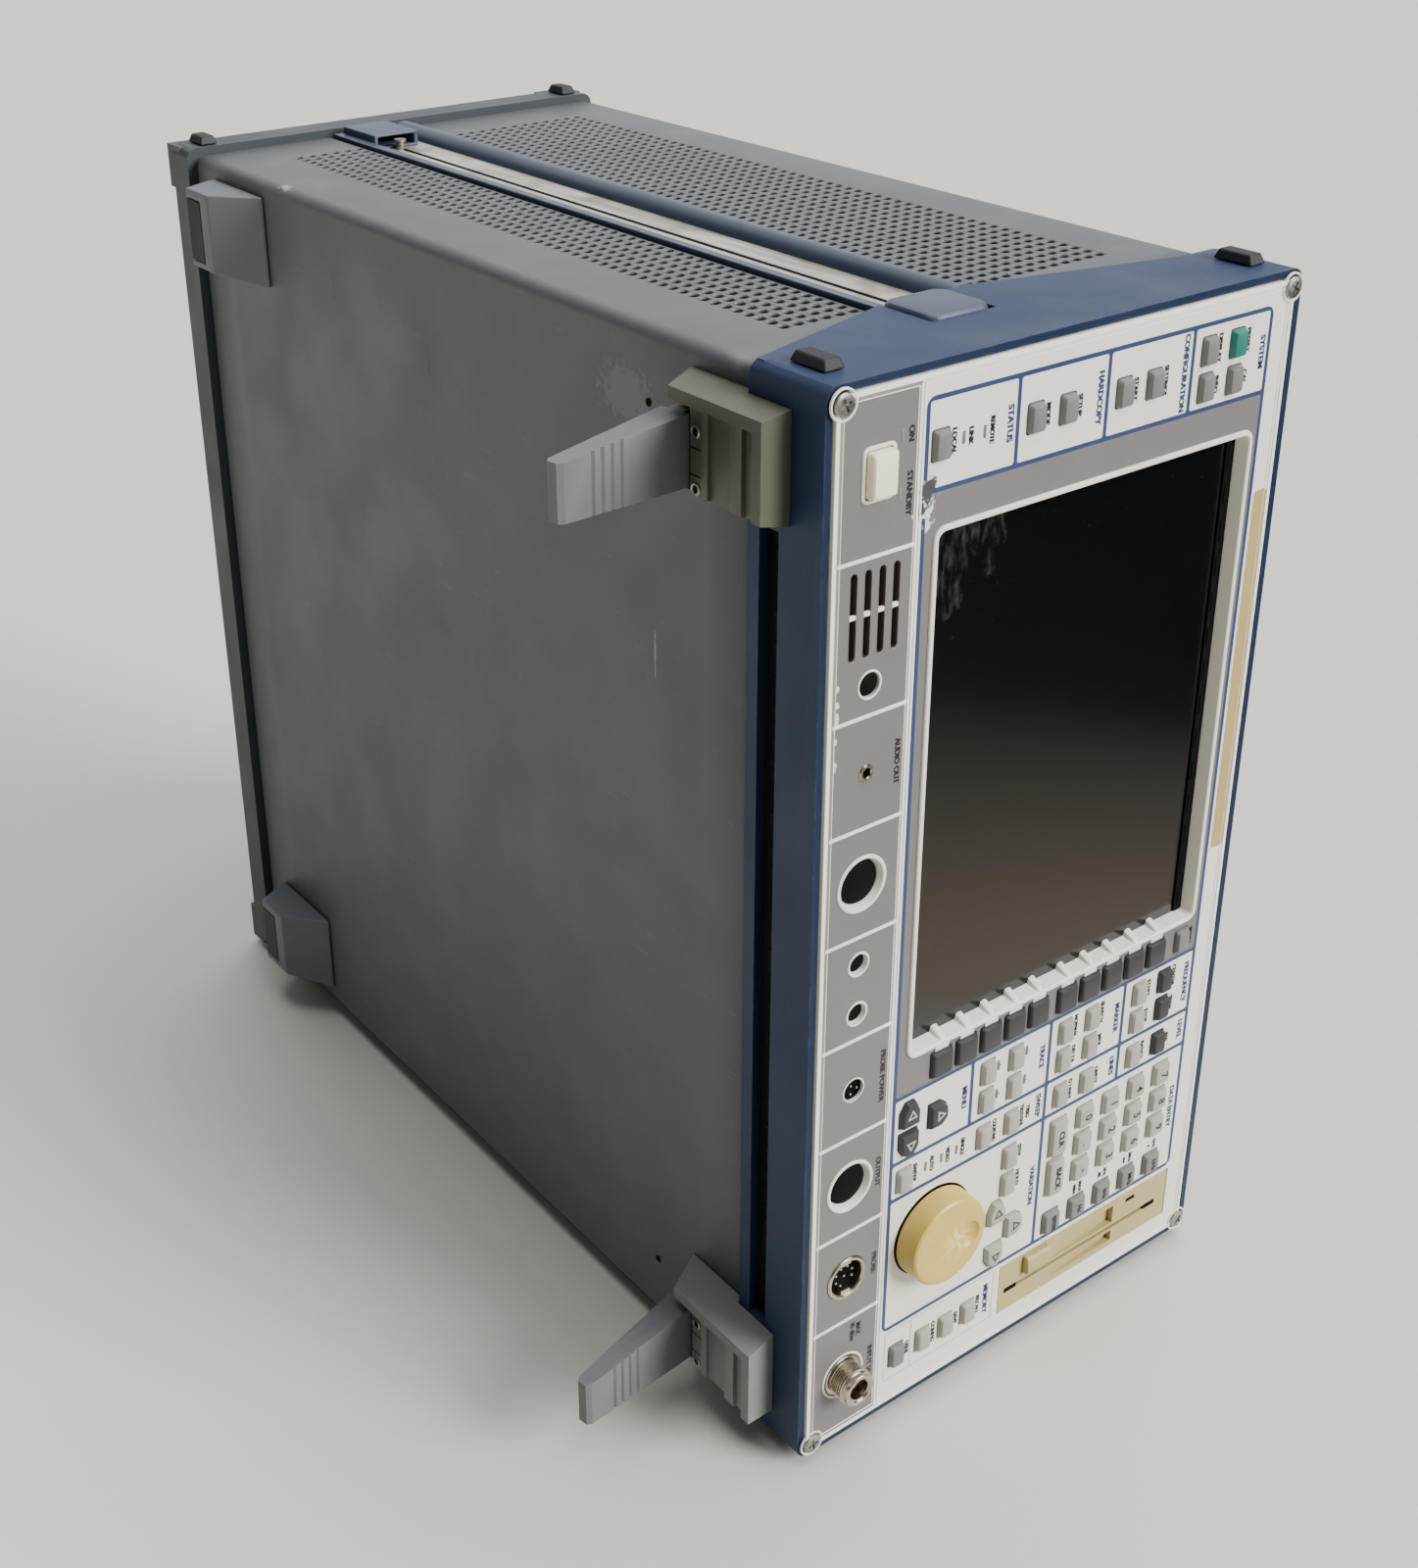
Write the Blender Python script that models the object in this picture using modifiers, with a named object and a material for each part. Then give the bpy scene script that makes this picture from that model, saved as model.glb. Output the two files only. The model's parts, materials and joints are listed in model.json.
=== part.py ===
"""A bench spectrum analyzer, 5 rack units high, standing on its right-hand side.

Every size is in millimetres in the instrument's own frame: X is height above its
underside, Y is depth behind the bezel's front face, and Z runs from the floor up to
its left-hand side. An empty puts that frame over the origin, in metres.
"""

import math

import bmesh
import bpy
from mathutils import Matrix, Vector

MM = 0.001
GAP = 0.3                # clearance between pieces that touch

# Overall form
BODY_HEIGHT = 221.0      # 5 rack units
BEZEL_WIDTH = 427.0
BUMPER_HEIGHT = 4.0
FOOT_HEIGHT = 15.0
CASE_REAR = 432.0
FRAME_REAR = 452.0
LUG_REAR = 457.5
INSET = 3.0              # how far the case lies inside the bezel's outline
SHEET = 1.5

LOW = BUMPER_HEIGHT                  # bezel's right-hand side
HIGH = BUMPER_HEIGHT + BEZEL_WIDTH   # bezel's left-hand side
CASE_LOW, CASE_HIGH = LOW + INSET, HIGH - INSET
CASE_BOTTOM, CASE_TOP = INSET, BODY_HEIGHT - INSET

# Front
FASCIA_FRONT, FASCIA_BACK = -1.0, 1.5
BEZEL_BAND = 20.5        # depth of the band in front of the air slot
SLOT_REAR = 30.0
BEZEL_REAR = 36.0
FLANGE_REAR = 56.0
DISPLAY = (58.4, 257.4, 49.0, 198.3)     # across and up limits of the opening
STRIP_CENTRE = 20.7      # height of the connector strip's middle

# Keys: width across, height up
KEY = (10.2, 7.2)
SOFTKEY = (11.3, 10.4)
DIGIT_KEY = (10.2, 9.0)
WIDE_KEY = (17.4, 9.0)
ARROW_KEY = (10.6, 9.0)
KEY_TOP = FASCIA_FRONT - 2.4
WEB = (2.8, 3.8)         # depth range of the web that joins a group of keys
CELL_UP = (41.0, 80.7, 122.5, 164.4)     # lower edges of the printed cells
ROW_OFFSETS = (8.0, 22.9)                # key rows above a cell's lower edge

# Handle channels
CHANNEL = (72.2, 115.5)                  # height range of the extrusion
CHANNEL_FRONT = 57.3
NEAR_RAIL = 4.4
FAR_RAIL_RADIUS = 6.0
CHANNEL_FLOOR = 4.0      # depth of the floor below the near rail
CAP = (72.0, 100.0)

# Feet
FRONT_FEET = {"left": (381.6, 420.4), "right": (17.0, 55.8)}
REAR_FEET = {"left": (381.6, 421.0), "right": (17.6, 57.2)}
FOOT_TAPER = 5.5         # how far a foot's lower face rises towards its outer end
FOOT_WALL = 4.4          # wall on the foot's upper side
FOOT_FLOOR = -9.0        # height of the floor between the foot's ribs
HINGE_X, HINGE_Y = -6.5, 59.3
LEG_LENGTH = 59.675
LEG_TILT = math.radians(10.5)
LEG_WIDTH = 25.0
PIN_RADIUS = 1.5

# Knob and fan
KNOB = (347.0, 64.3)     # across, up
KNOB_RADIUS = 19.0
KNOB_FRONT = -11.5
SHAFT_RADIUS = 3.0
FAN_CENTRE = (150.0, 330.0)
FAN_SIZE = 92.0
FAN_DEPTH = (414.7, 439.7)

LEG_TIP_X = HINGE_X - LEG_LENGTH * math.cos(LEG_TILT) - 2.0 * math.sin(LEG_TILT)
CENTRE_X = (LEG_TIP_X + BODY_HEIGHT) / 2
CENTRE_Y = (KNOB_FRONT + LUG_REAR) / 2

MATERIALS = {
    "blue_paint": ((0.075, 0.12, 0.20), 0.45, 0.0),
    "grey_paint": ((0.24, 0.26, 0.26), 0.5, 0.0),
    "frame_paint": ((0.085, 0.11, 0.14), 0.5, 0.0),
    "bare_aluminium": ((0.55, 0.52, 0.46), 0.35, 0.9),
    "steel": ((0.55, 0.55, 0.55), 0.3, 1.0),
    "nickel": ((0.6, 0.57, 0.5), 0.25, 1.0),
    "black_rubber": ((0.02, 0.02, 0.02), 0.7, 0.0),
    "cap_plastic": ((0.20, 0.25, 0.38), 0.45, 0.0),
    "foot_plastic": ((0.22, 0.23, 0.22), 0.5, 0.0),
    "leg_plastic": ((0.29, 0.32, 0.36), 0.45, 0.0),
    "cream_panel": ((0.74, 0.72, 0.66), 0.5, 0.0),
    "light_key": ((0.62, 0.60, 0.55), 0.5, 0.0),
    "grey_key": ((0.36, 0.35, 0.34), 0.5, 0.0),
    "dark_key": ((0.06, 0.065, 0.075), 0.5, 0.0),
    "teal_key": ((0.02, 0.30, 0.27), 0.5, 0.0),
    "aged_cream": ((0.68, 0.55, 0.28), 0.45, 0.0),
    "floppy_beige": ((0.60, 0.49, 0.27), 0.5, 0.0),
    "ivory_button": ((0.72, 0.70, 0.55), 0.45, 0.0),
    "dark_glass": ((0.02, 0.02, 0.02), 0.08, 0.0),
    "circuit_board": ((0.03, 0.16, 0.07), 0.5, 0.0),
    "black_plastic": ((0.03, 0.03, 0.03), 0.5, 0.0),
}


def clear_scene():
    for obj in list(bpy.data.objects):
        bpy.data.objects.remove(obj)


def collection(name):
    made = bpy.data.collections.new(name)
    bpy.context.scene.collection.children.link(made)
    return made


clear_scene()
PARTS = collection("spectrum_analyzer")
CUTTERS = collection("cutters")
HOME = bpy.data.objects.new("instrument_frame", None)
HOME.location = (-CENTRE_X * MM, -CENTRE_Y * MM, 0)
PARTS.objects.link(HOME)


# ---- Helpers ----

def material(name):
    made = bpy.data.materials.get(name)
    if made is None:
        colour, roughness, metallic = MATERIALS[name]
        made = bpy.data.materials.new(name)
        made.use_nodes = True
        shader = made.node_tree.nodes["Principled BSDF"]
        shader.inputs["Base Color"].default_value = (*colour, 1)
        shader.inputs["Roughness"].default_value = roughness
        shader.inputs["Metallic"].default_value = metallic
    return made


def add_object(name, mesh, origin=None, where=None):
    """Links a mesh given in the instrument's millimetres, its origin at a point or its middle."""
    if origin is None:
        corners = [[vert.co[i] for vert in mesh.vertices] for i in range(3)]
        origin = [(min(values) + max(values)) / 2 for values in corners]
    mesh.transform(Matrix.Scale(MM, 4) @ Matrix.Translation(-Vector(origin)))
    obj = bpy.data.objects.new(name, mesh)
    obj.location = Vector(origin) * MM
    obj.parent = HOME
    (where or PARTS).objects.link(obj)
    return obj


def to_mesh(bm, name):
    mesh = bpy.data.meshes.new(name)
    bmesh.ops.recalc_face_normals(bm, faces=bm.faces)
    bm.to_mesh(mesh)
    bm.free()
    return mesh


def add_box(bm, low, high, taper=0.0):
    """A box between two corners; taper draws in its -Y face on all four sides."""
    low, high = Vector(low), Vector(high)
    size = high - low
    made = bmesh.ops.create_cube(bm, size=1)["verts"]
    for vert in made:
        pull = taper if vert.co.y < 0 else 0.0
        for axis in (0, 2):
            vert.co[axis] *= 1 - 2 * pull / size[axis]
        vert.co = low + Vector((vert.co[i] + 0.5) * size[i] for i in range(3))
    return made


def add_rod(bm, centre, radius, start, end, axis="Y", sides=24, end_radius=None):
    """A rod along one axis; centre gives its middle on the other two."""
    turned = {
        "X": Matrix.Rotation(math.pi / 2, 4, "Y"),
        "Y": Matrix.Rotation(-math.pi / 2, 4, "X"),
        "Z": Matrix.Identity(4),
    }[axis]
    middle = list(centre)
    middle.insert("XYZ".index(axis), (start + end) / 2)
    bmesh.ops.create_cone(
        bm, cap_ends=True, segments=sides, radius1=radius, depth=end - start,
        radius2=radius if end_radius is None else end_radius,
        matrix=Matrix.Translation(middle) @ turned,
    )


def boxes(name, spans, where=None, origin=None):
    bm = bmesh.new()
    for low, high in spans:
        add_box(bm, low, high)
    return add_object(name, to_mesh(bm, name), origin, where)


def rods(name, specs, where=None, origin=None):
    bm = bmesh.new()
    for spec in specs:
        add_rod(bm, **spec)
    return add_object(name, to_mesh(bm, name), origin, where)


def prism(name, outline, start, end, axis="Z", where=None, origin=None):
    """A flat outline extruded along one axis, as a filled 2D curve made into a mesh."""
    curve = bpy.data.curves.new(name, "CURVE")
    curve.dimensions = "2D"
    curve.fill_mode = "BOTH"
    curve.extrude = (end - start) / 2
    spline = curve.splines.new("POLY")
    spline.points.add(len(outline) - 1)
    for point, (x, y) in zip(spline.points, outline):
        point.co = (x, y, 0, 1)
    spline.use_cyclic_u = True
    guide = bpy.data.objects.new(name + "_outline", curve)
    CUTTERS.objects.link(guide)
    bpy.context.view_layer.update()
    mesh = bpy.data.meshes.new_from_object(guide)
    bpy.data.objects.remove(guide)
    bm = bmesh.new()
    bm.from_mesh(mesh)
    bmesh.ops.remove_doubles(bm, verts=bm.verts, dist=1e-4)
    turned = {
        "X": Matrix(((0, 0, 1, 0), (1, 0, 0, 0), (0, 1, 0, 0), (0, 0, 0, 1))),
        "Y": Matrix(((1, 0, 0, 0), (0, 0, -1, 0), (0, 1, 0, 0), (0, 0, 0, 1))),
        "Z": Matrix.Identity(4),
    }[axis]
    along = Vector(((axis == "X"), (axis == "Y"), (axis == "Z")))
    bm.transform(Matrix.Translation(along * (start + end) / 2) @ turned)
    return add_object(name, to_mesh(bm, name), origin, where)


def boolean(obj, cutter, operation):
    modifier = obj.modifiers.new(operation.lower(), "BOOLEAN")
    modifier.operation = operation
    modifier.solver = "EXACT"
    modifier.object = cutter
    cutter.hide_render = True
    cutter.display_type = "WIRE"


def cut(obj, cutter):
    boolean(obj, cutter, "DIFFERENCE")


def join(obj, other):
    boolean(obj, other, "UNION")


def bevel(obj, width, segments=1):
    modifier = obj.modifiers.new("bevel", "BEVEL")
    modifier.width = width * MM
    modifier.segments = segments
    modifier.limit_method = "ANGLE"
    modifier.angle_limit = math.radians(40)


def paint(obj, slot, smooth=False):
    obj.data.materials.append(material(slot))
    if smooth:
        obj.data.shade_smooth()
        obj.data.set_sharp_from_angle(angle=math.radians(35))
    return obj



def panel_z(across):
    """Z of a point given as the distance from the instrument's left-hand side."""
    return HIGH - across


def rounded(x_range, z_range, radius, steps=4):
    """Outline of a rectangle with round corners, as (x, z) points."""
    points = []
    corners = ((x_range[1], z_range[1]), (x_range[0], z_range[1]),
               (x_range[0], z_range[0]), (x_range[1], z_range[0]))
    for quarter, (x, z) in enumerate(corners):
        cx = x - math.copysign(radius, x - sum(x_range) / 2)
        cz = z - math.copysign(radius, z - sum(z_range) / 2)
        for step in range(steps + 1):
            angle = math.pi / 2 * (quarter + step / steps)
            points.append((cx + radius * math.cos(angle), cz + radius * math.sin(angle)))
    return points


# ---- Housing ----

def front_bezel():
    """Cast ring with side flanges, an inner ledge for the panel and an air slot below."""
    bezel = prism("front_bezel", rounded((0, BODY_HEIGHT), (LOW, HIGH), 5), 0, BEZEL_REAR, "Y")
    flange = [(3, BEZEL_REAR - 4), (3, BEZEL_REAR - 0.5), (CHANNEL[0], FLANGE_REAR),
              (113, FLANGE_REAR), (BODY_HEIGHT - 3, 31.5), (BODY_HEIGHT - 3, 28)]
    for side, z_range in (("left", (CASE_HIGH + GAP, HIGH)), ("right", (LOW, CASE_LOW - GAP))):
        join(bezel, prism("bezel_flange_" + side, flange, *z_range, where=CUTTERS))
    cut(bezel, prism("bezel_opening", rounded((7, 214), (LOW + 7, HIGH - 7), 3),
                     -2, 80, "Y", CUTTERS))
    cut(bezel, prism("panel_recess", rounded((2.7, 218.3), (LOW + 2.7, HIGH - 2.7), 2.3),
                     -2, FASCIA_BACK + GAP, "Y", CUTTERS))
    slots = [((-1, BEZEL_BAND, 56), (8, SLOT_REAR, 379))]
    for z_range in ((HIGH - 2.5, HIGH + 1), (LOW - 1, LOW + 2.5)):
        slots.append(((CAP[0] - 0.5, 30.5, z_range[0]), (CAP[1] + 0.5, 57.5, z_range[1])))
    cut(bezel, boxes("bezel_slots", slots, CUTTERS))
    return paint(bezel, "blue_paint")


def rear_frame():
    """Ring behind the covers, with a neck that tucks inside them and four corner lugs."""
    ring = prism("rear_frame", rounded((0, BODY_HEIGHT), (LOW, HIGH), 5), 436, FRAME_REAR, "Y")
    join(ring, prism("frame_neck", rounded((5, 216), (LOW + 5, HIGH - 5), 4),
                     425, 437, "Y", CUTTERS))
    lugs = []
    for x_range in ((0.5, 20), (BODY_HEIGHT - 20, BODY_HEIGHT - 0.5)):
        for z_range in ((LOW + 0.5, LOW + 20), (HIGH - 20, HIGH - 0.5)):
            lugs.append(((x_range[0], 445, z_range[0]), (x_range[1], LUG_REAR, z_range[1])))
    join(ring, boxes("frame_lugs", lugs, CUTTERS))
    cut(ring, boxes("frame_opening", [((8, 420, LOW + 8), (213, 470, HIGH - 8))], CUTTERS))
    channel_room = [((CHANNEL[0] - 1, 420, z_range[0]), (CHANNEL[1] + 1, 436, z_range[1]))
                    for z_range in ((HIGH - 14, HIGH - 3), (LOW + 3, LOW + 14))]
    cut(ring, boxes("channel_room", channel_room, CUTTERS))
    return paint(ring, "frame_paint")


def cover(name, x_range, closed_side):
    """U-shaped sheet cover: one full wall and two side walls as far as the channels."""
    outline = rounded((CASE_BOTTOM, CASE_TOP), (CASE_LOW, CASE_HIGH), 5)
    shell = prism(name, outline, BEZEL_REAR + GAP, CASE_REAR, "Y")
    inner = rounded((CASE_BOTTOM + SHEET, CASE_TOP - SHEET),
                    (CASE_LOW + SHEET, CASE_HIGH - SHEET), 3.5)
    cut(shell, prism(name + "_inside", inner, 0, 500, "Y", CUTTERS))
    if closed_side == "bottom":
        away = ((x_range[1], 0, 0), (300, 500, 500))
    else:
        away = ((-50, 0, 0), (x_range[0], 500, 500))
    cut(shell, boxes(name + "_away", [away], CUTTERS))
    return paint(shell, "grey_paint")


def handle_channel(name, left):
    """Extrusion with a low rail, a bare floor and a thick half-round rail."""
    rail_top = HIGH - 1.5
    floor_top = rail_top - CHANNEL_FLOOR
    centre = CHANNEL[1] - FAR_RAIL_RADIUS
    outline = [(CHANNEL[0], floor_top - 2), (CHANNEL[0], rail_top),
               (CHANNEL[0] + NEAR_RAIL, rail_top), (CHANNEL[0] + NEAR_RAIL, floor_top)]
    for step in range(9):
        angle = math.pi * (1 - step / 8)
        height = HIGH - FAR_RAIL_RADIUS * (1 - math.sin(angle))
        outline.append((centre + FAR_RAIL_RADIUS * math.cos(angle), max(height, floor_top)))
    outline.append((CHANNEL[1], floor_top - 2))
    if not left:
        outline = [(x, LOW + HIGH - z) for x, z in outline]
    return paint(prism(name, outline, CHANNEL_FRONT, CASE_REAR, "Y"), "bare_aluminium")


def strap_cap(name, left, front):
    """Plastic end cap of a carrying strap; the rear one has a pocket that faces forwards."""
    floor = HIGH - 1.5 - CHANNEL_FLOOR
    if front:
        low, high = (CAP[0], 31, HIGH - 2.2), (CAP[1], 57, HIGH + 1.5)
    else:
        low, high = (CAP[0] + 5, 402, floor + GAP), (CAP[1], 431, HIGH + 1.5)
    if not left:
        low, high = ((low[0], low[1], LOW + HIGH - high[2]),
                     (high[0], high[1], LOW + HIGH - low[2]))
    cap = boxes(name, [(low, high)])
    if not front:
        z_range = (low[2] + 1.0, high[2] - 1.2) if left else (low[2] + 1.2, high[2] - 1.0)
        cut(cap, boxes(name + "_pocket", [((low[0] + 2, 400, z_range[0]),
                                           (high[0] - 2, 424, z_range[1]))], CUTTERS))
    bevel(cap, 0.8 if front else 0.4)
    return paint(cap, "cap_plastic")


def bumper(name, x_low, y_range, left):
    """Tapered rubber block, wider at its foot."""
    bm = bmesh.new()
    height = BUMPER_HEIGHT - GAP
    low, high = (x_low, y_range[0], -height / 2), (x_low + 8.5, y_range[1], height / 2)
    outer = 1 if left else -1
    for vert in add_box(bm, low, high):
        if vert.co.z * outer > 0:
            vert.co.x += math.copysign(1.2, (low[0] + high[0]) / 2 - vert.co.x)
            vert.co.y += math.copysign(1.6, sum(y_range) / 2 - vert.co.y)
    middle = HIGH + GAP + height / 2 if left else height / 2
    bmesh.ops.translate(bm, verts=bm.verts, vec=(0, 0, middle))
    return paint(add_object(name, to_mesh(bm, name)), "black_rubber")


def rear_panel():
    """Plate inside the rear frame, with narrow fan slots and an opening for the inlet."""
    panel = boxes("rear_panel", [((8.3, 440, LOW + 8.3), (212.7, 442, HIGH - 8.3))])
    openings = [((30, 430, 60), (58, 450, 92))]
    up, across = FAN_CENTRE
    for row in range(-5, 6):
        reach = math.sqrt(40.0 ** 2 - (row * 7.0) ** 2)
        openings.append(((up + row * 7.0 - 1.8, 430, across - reach),
                         (up + row * 7.0 + 1.8, 450, across + reach)))
    cut(panel, boxes("rear_panel_openings", openings, CUTTERS))
    return paint(panel, "grey_paint")


# ---- Feet ----

def taper(obj, z_range):
    """Lifts a foot's lower face towards its outer end."""
    inner = CASE_BOTTOM - GAP
    for vert in obj.data.vertices:
        place = (vert.co + obj.location) / MM
        if place.z < z_range[0] + 1:
            vert.co.z += FOOT_TAPER * MM * (inner - place.x) / (inner + FOOT_HEIGHT)


def front_foot(name, z_range):
    """Block open below, with ribs in its recess and a seat for the leg's pin at its rear."""
    inner = CASE_BOTTOM - GAP
    outline = [(-FOOT_HEIGHT, 11.5), (-FOOT_HEIGHT, 57.5), (inner, 68.0),
               (inner, BEZEL_REAR + 0.5), (-GAP, BEZEL_REAR + 0.5), (-GAP, 15.0)]
    foot = prism(name, outline, *z_range)
    taper(foot, z_range)
    low, high = z_range[0] - 5, z_range[1] - FOOT_WALL
    for index, (start, end) in enumerate(((16.0, 22.5), (28.0, 40.3), (43.5, 49.5))):
        cut(foot, boxes(f"{name}_recess_{index}",
                        [((-20, start, low), (FOOT_FLOOR, end, high))], CUTTERS))
    cut(foot, boxes(name + "_hinge_recess",
                    [((-20, 49.0, z_range[0] + 4.6), (20, 80, high))], CUTTERS))
    cut(foot, boxes(name + "_seat_end", [((-20, 49.0, low), (-10.5, 80, high - 5))], CUTTERS))
    cut(foot, rods(name + "_pin_hole", [dict(
        centre=(HINGE_X, HINGE_Y), radius=PIN_RADIUS + GAP, axis="Z", sides=16,
        start=z_range[0] - 5, end=z_range[1] - 1)], CUTTERS))
    return paint(foot, "foot_plastic")


def leg_pin(name, z_range):
    pin = rods(name, [dict(centre=(HINGE_X, HINGE_Y), radius=PIN_RADIUS, axis="Z", sides=16,
                           start=z_range[0] + 3, end=z_range[1] - 1 - GAP)])
    return paint(pin, "steel", smooth=True)


def flip_leg(name, z_range):
    """Tapered leg with finger grooves on its front, its origin on the hinge pin's axis."""
    middle = sum(z_range) / 2 - 2.0
    direction = Vector((-math.cos(LEG_TILT), -math.sin(LEG_TILT)))
    normal = Vector((-direction.y, direction.x))
    hinge = Vector((HINGE_X, HINGE_Y))
    root, knuckle = 5.0, 3.4

    def half(along):
        return 6.2 - 3.0 * along / LEG_LENGTH

    def point(along, across):
        return hinge + direction * along + normal * across

    outline = [point(root, half(root)), point(root, knuckle)]
    for step in range(9):
        angle = math.pi * (0.5 - step / 8)
        outline.append(point(-knuckle * math.cos(angle), knuckle * math.sin(angle)))
    outline += [point(root, -knuckle), point(root, -half(root)),
                point(LEG_LENGTH - 2, -half(LEG_LENGTH)), point(LEG_LENGTH, -2),
                point(LEG_LENGTH, 2), point(LEG_LENGTH - 2, half(LEG_LENGTH))]
    for along in (46.0, 42.0, 38.0, 34.0):
        depth = half(along)
        outline += [point(along + 0.8, depth), point(along, depth - 1.0),
                    point(along - 0.8, depth)]
    leg = prism(name, outline, middle - LEG_WIDTH / 2, middle + LEG_WIDTH / 2,
                origin=(*hinge, middle))
    for vert in leg.data.vertices:
        along = max(0.0, vert.co.xy.dot(direction))
        vert.co.z *= 1 - 0.22 * along / (LEG_LENGTH * MM)
    cut(leg, rods(name + "_bore", [dict(
        centre=hinge, radius=PIN_RADIUS + 0.2, axis="Z", sides=16,
        start=middle - 30, end=middle + 30)], CUTTERS))
    return paint(leg, "leg_plastic")


def rear_foot(name, z_range):
    """Wedge block with a pocket along its rear edge for a rubber pad."""
    outline = [(CASE_BOTTOM - GAP, 368), (1.5, 368), (-FOOT_HEIGHT, 386),
               (-FOOT_HEIGHT, 407), (CASE_BOTTOM - GAP, 416)]
    foot = prism(name, outline, *z_range)
    taper(foot, z_range)
    cut(foot, boxes(name + "_pocket", [((-20, 394, z_range[0] + 8),
                                        (-11, 420, z_range[1] - 4))], CUTTERS))
    return paint(foot, "foot_plastic")


def foot_pad(name, z_range):
    pad = boxes(name, [((-FOOT_HEIGHT, 394 + GAP, z_range[0] + 8 + GAP),
                        (-11 - GAP, 407, z_range[1] - 4 - GAP))])
    return paint(pad, "black_rubber")


# ---- Keys ----

def pairs(columns, cells, rows=ROW_OFFSETS, size=KEY):
    """Keys at every crossing of some columns with the key rows of some cells."""
    return [(column, CELL_UP[cell] + row, *size)
            for cell in cells for row in rows for column in columns]


LEFT_PAIR = (21.1, 34.3)
LEFT_SINGLE = 27.5
FUNCTION_PAIR = (284.9, 298.1)
FUNCTION_THIRD = 315.0
DIGIT_COLUMNS = (332.1, 345.3, 358.5)
DIGIT_ROWS = (146.2, 161.2, 176.3, 191.4)
WIDE_ROW = 131.3
UNIT_COLUMN = 378.1
SOFT_COLUMN = 268.8

PRESET = [(LEFT_PAIR[0], CELL_UP[3] + ROW_OFFSETS[1], *KEY)]
KEY_GROUPS = {
    "setup_keys": ("grey_key", [(LEFT_PAIR[1], CELL_UP[3] + ROW_OFFSETS[1], *KEY)]
                   + pairs(LEFT_PAIR, (3,), ROW_OFFSETS[:1])
                   + pairs((LEFT_SINGLE,), (1, 2)) + pairs((LEFT_SINGLE,), (0,), (5.8,))),
    "softkeys": ("dark_key", [(SOFT_COLUMN, 63.4 + 12.6 * i + (2.8 if i > 4 else 0), *SOFTKEY)
                              for i in range(10)] + [(SOFT_COLUMN, 194.9, *KEY)]),
    "frequency_level_keys": ("dark_key", pairs((*FUNCTION_PAIR, FUNCTION_THIRD), (3,))),
    "marker_lines_keys": ("light_key", pairs((*FUNCTION_PAIR, FUNCTION_THIRD), (2,))),
    "trace_sweep_keys": ("light_key", pairs((*FUNCTION_PAIR, FUNCTION_THIRD), (1,))),
    "menu_keys": ("dark_key", [(291.7, 63.0, *ARROW_KEY), (285.0, 48.5, *ARROW_KEY),
                               (298.4, 48.5, *ARROW_KEY), (FUNCTION_THIRD, 47.5, *KEY)]),
    "digit_keys": ("light_key", [(column, row, *DIGIT_KEY)
                                 for column in DIGIT_COLUMNS for row in DIGIT_ROWS]
                   + [(335.6, WIDE_ROW, *WIDE_KEY), (355.2, WIDE_ROW, *WIDE_KEY)]),
    "unit_keys": ("grey_key", [(UNIT_COLUMN, row, *DIGIT_KEY) for row in (WIDE_ROW, *DIGIT_ROWS)]),
    "step_keys": ("light_key", [(DIGIT_COLUMNS[0], 104.0, *KEY), (DIGIT_COLUMNS[1], 104.0, *KEY),
                                (367.4, 108.8, *ARROW_KEY), (356.8, 98.6, *ARROW_KEY),
                                (378.0, 98.6, *ARROW_KEY)]),
    "memory_keys": ("light_key", [(400.7, up, *KEY) for up in (48.2, 62.1, 74.4, 86.5)]),
}


def key_box(bm, key, front, back, grow=0.0, taper=0.0):
    across, up, width, height = key
    z = panel_z(across)
    add_box(bm, (up - height / 2 - grow, front, z - width / 2 - grow),
            (up + height / 2 + grow, back, z + width / 2 + grow), taper)


def key_group(name, slot, keys):
    """A moulded mat: tapered keys standing on one web behind the panel."""
    lows = [(up - height / 2, panel_z(across) - width / 2) for across, up, width, height in keys]
    highs = [(up + height / 2, panel_z(across) + width / 2) for across, up, width, height in keys]
    x_low, z_low = (min(point[i] for point in lows) + 0.5 for i in range(2))
    x_high, z_high = (max(point[i] for point in highs) - 0.5 for i in range(2))
    web = boxes(name, [((x_low, WEB[0], z_low), (x_high, WEB[1], z_high))])
    bm = bmesh.new()
    for key in keys:
        key_box(bm, key, KEY_TOP, WEB[0] + 0.5, taper=0.6)
    join(web, add_object(name + "_tops", to_mesh(bm, name), where=CUTTERS))
    if name == "setup_keys":
        across, up, width, height = PRESET[0]
        room = ((up - 6, 1, panel_z(across) - 7), (up + 10, 5, panel_z(across) + 10))
        cut(web, boxes("preset_room", [room], CUTTERS))
    return paint(web, slot)


# ---- Front panel and what sits in it ----

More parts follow.
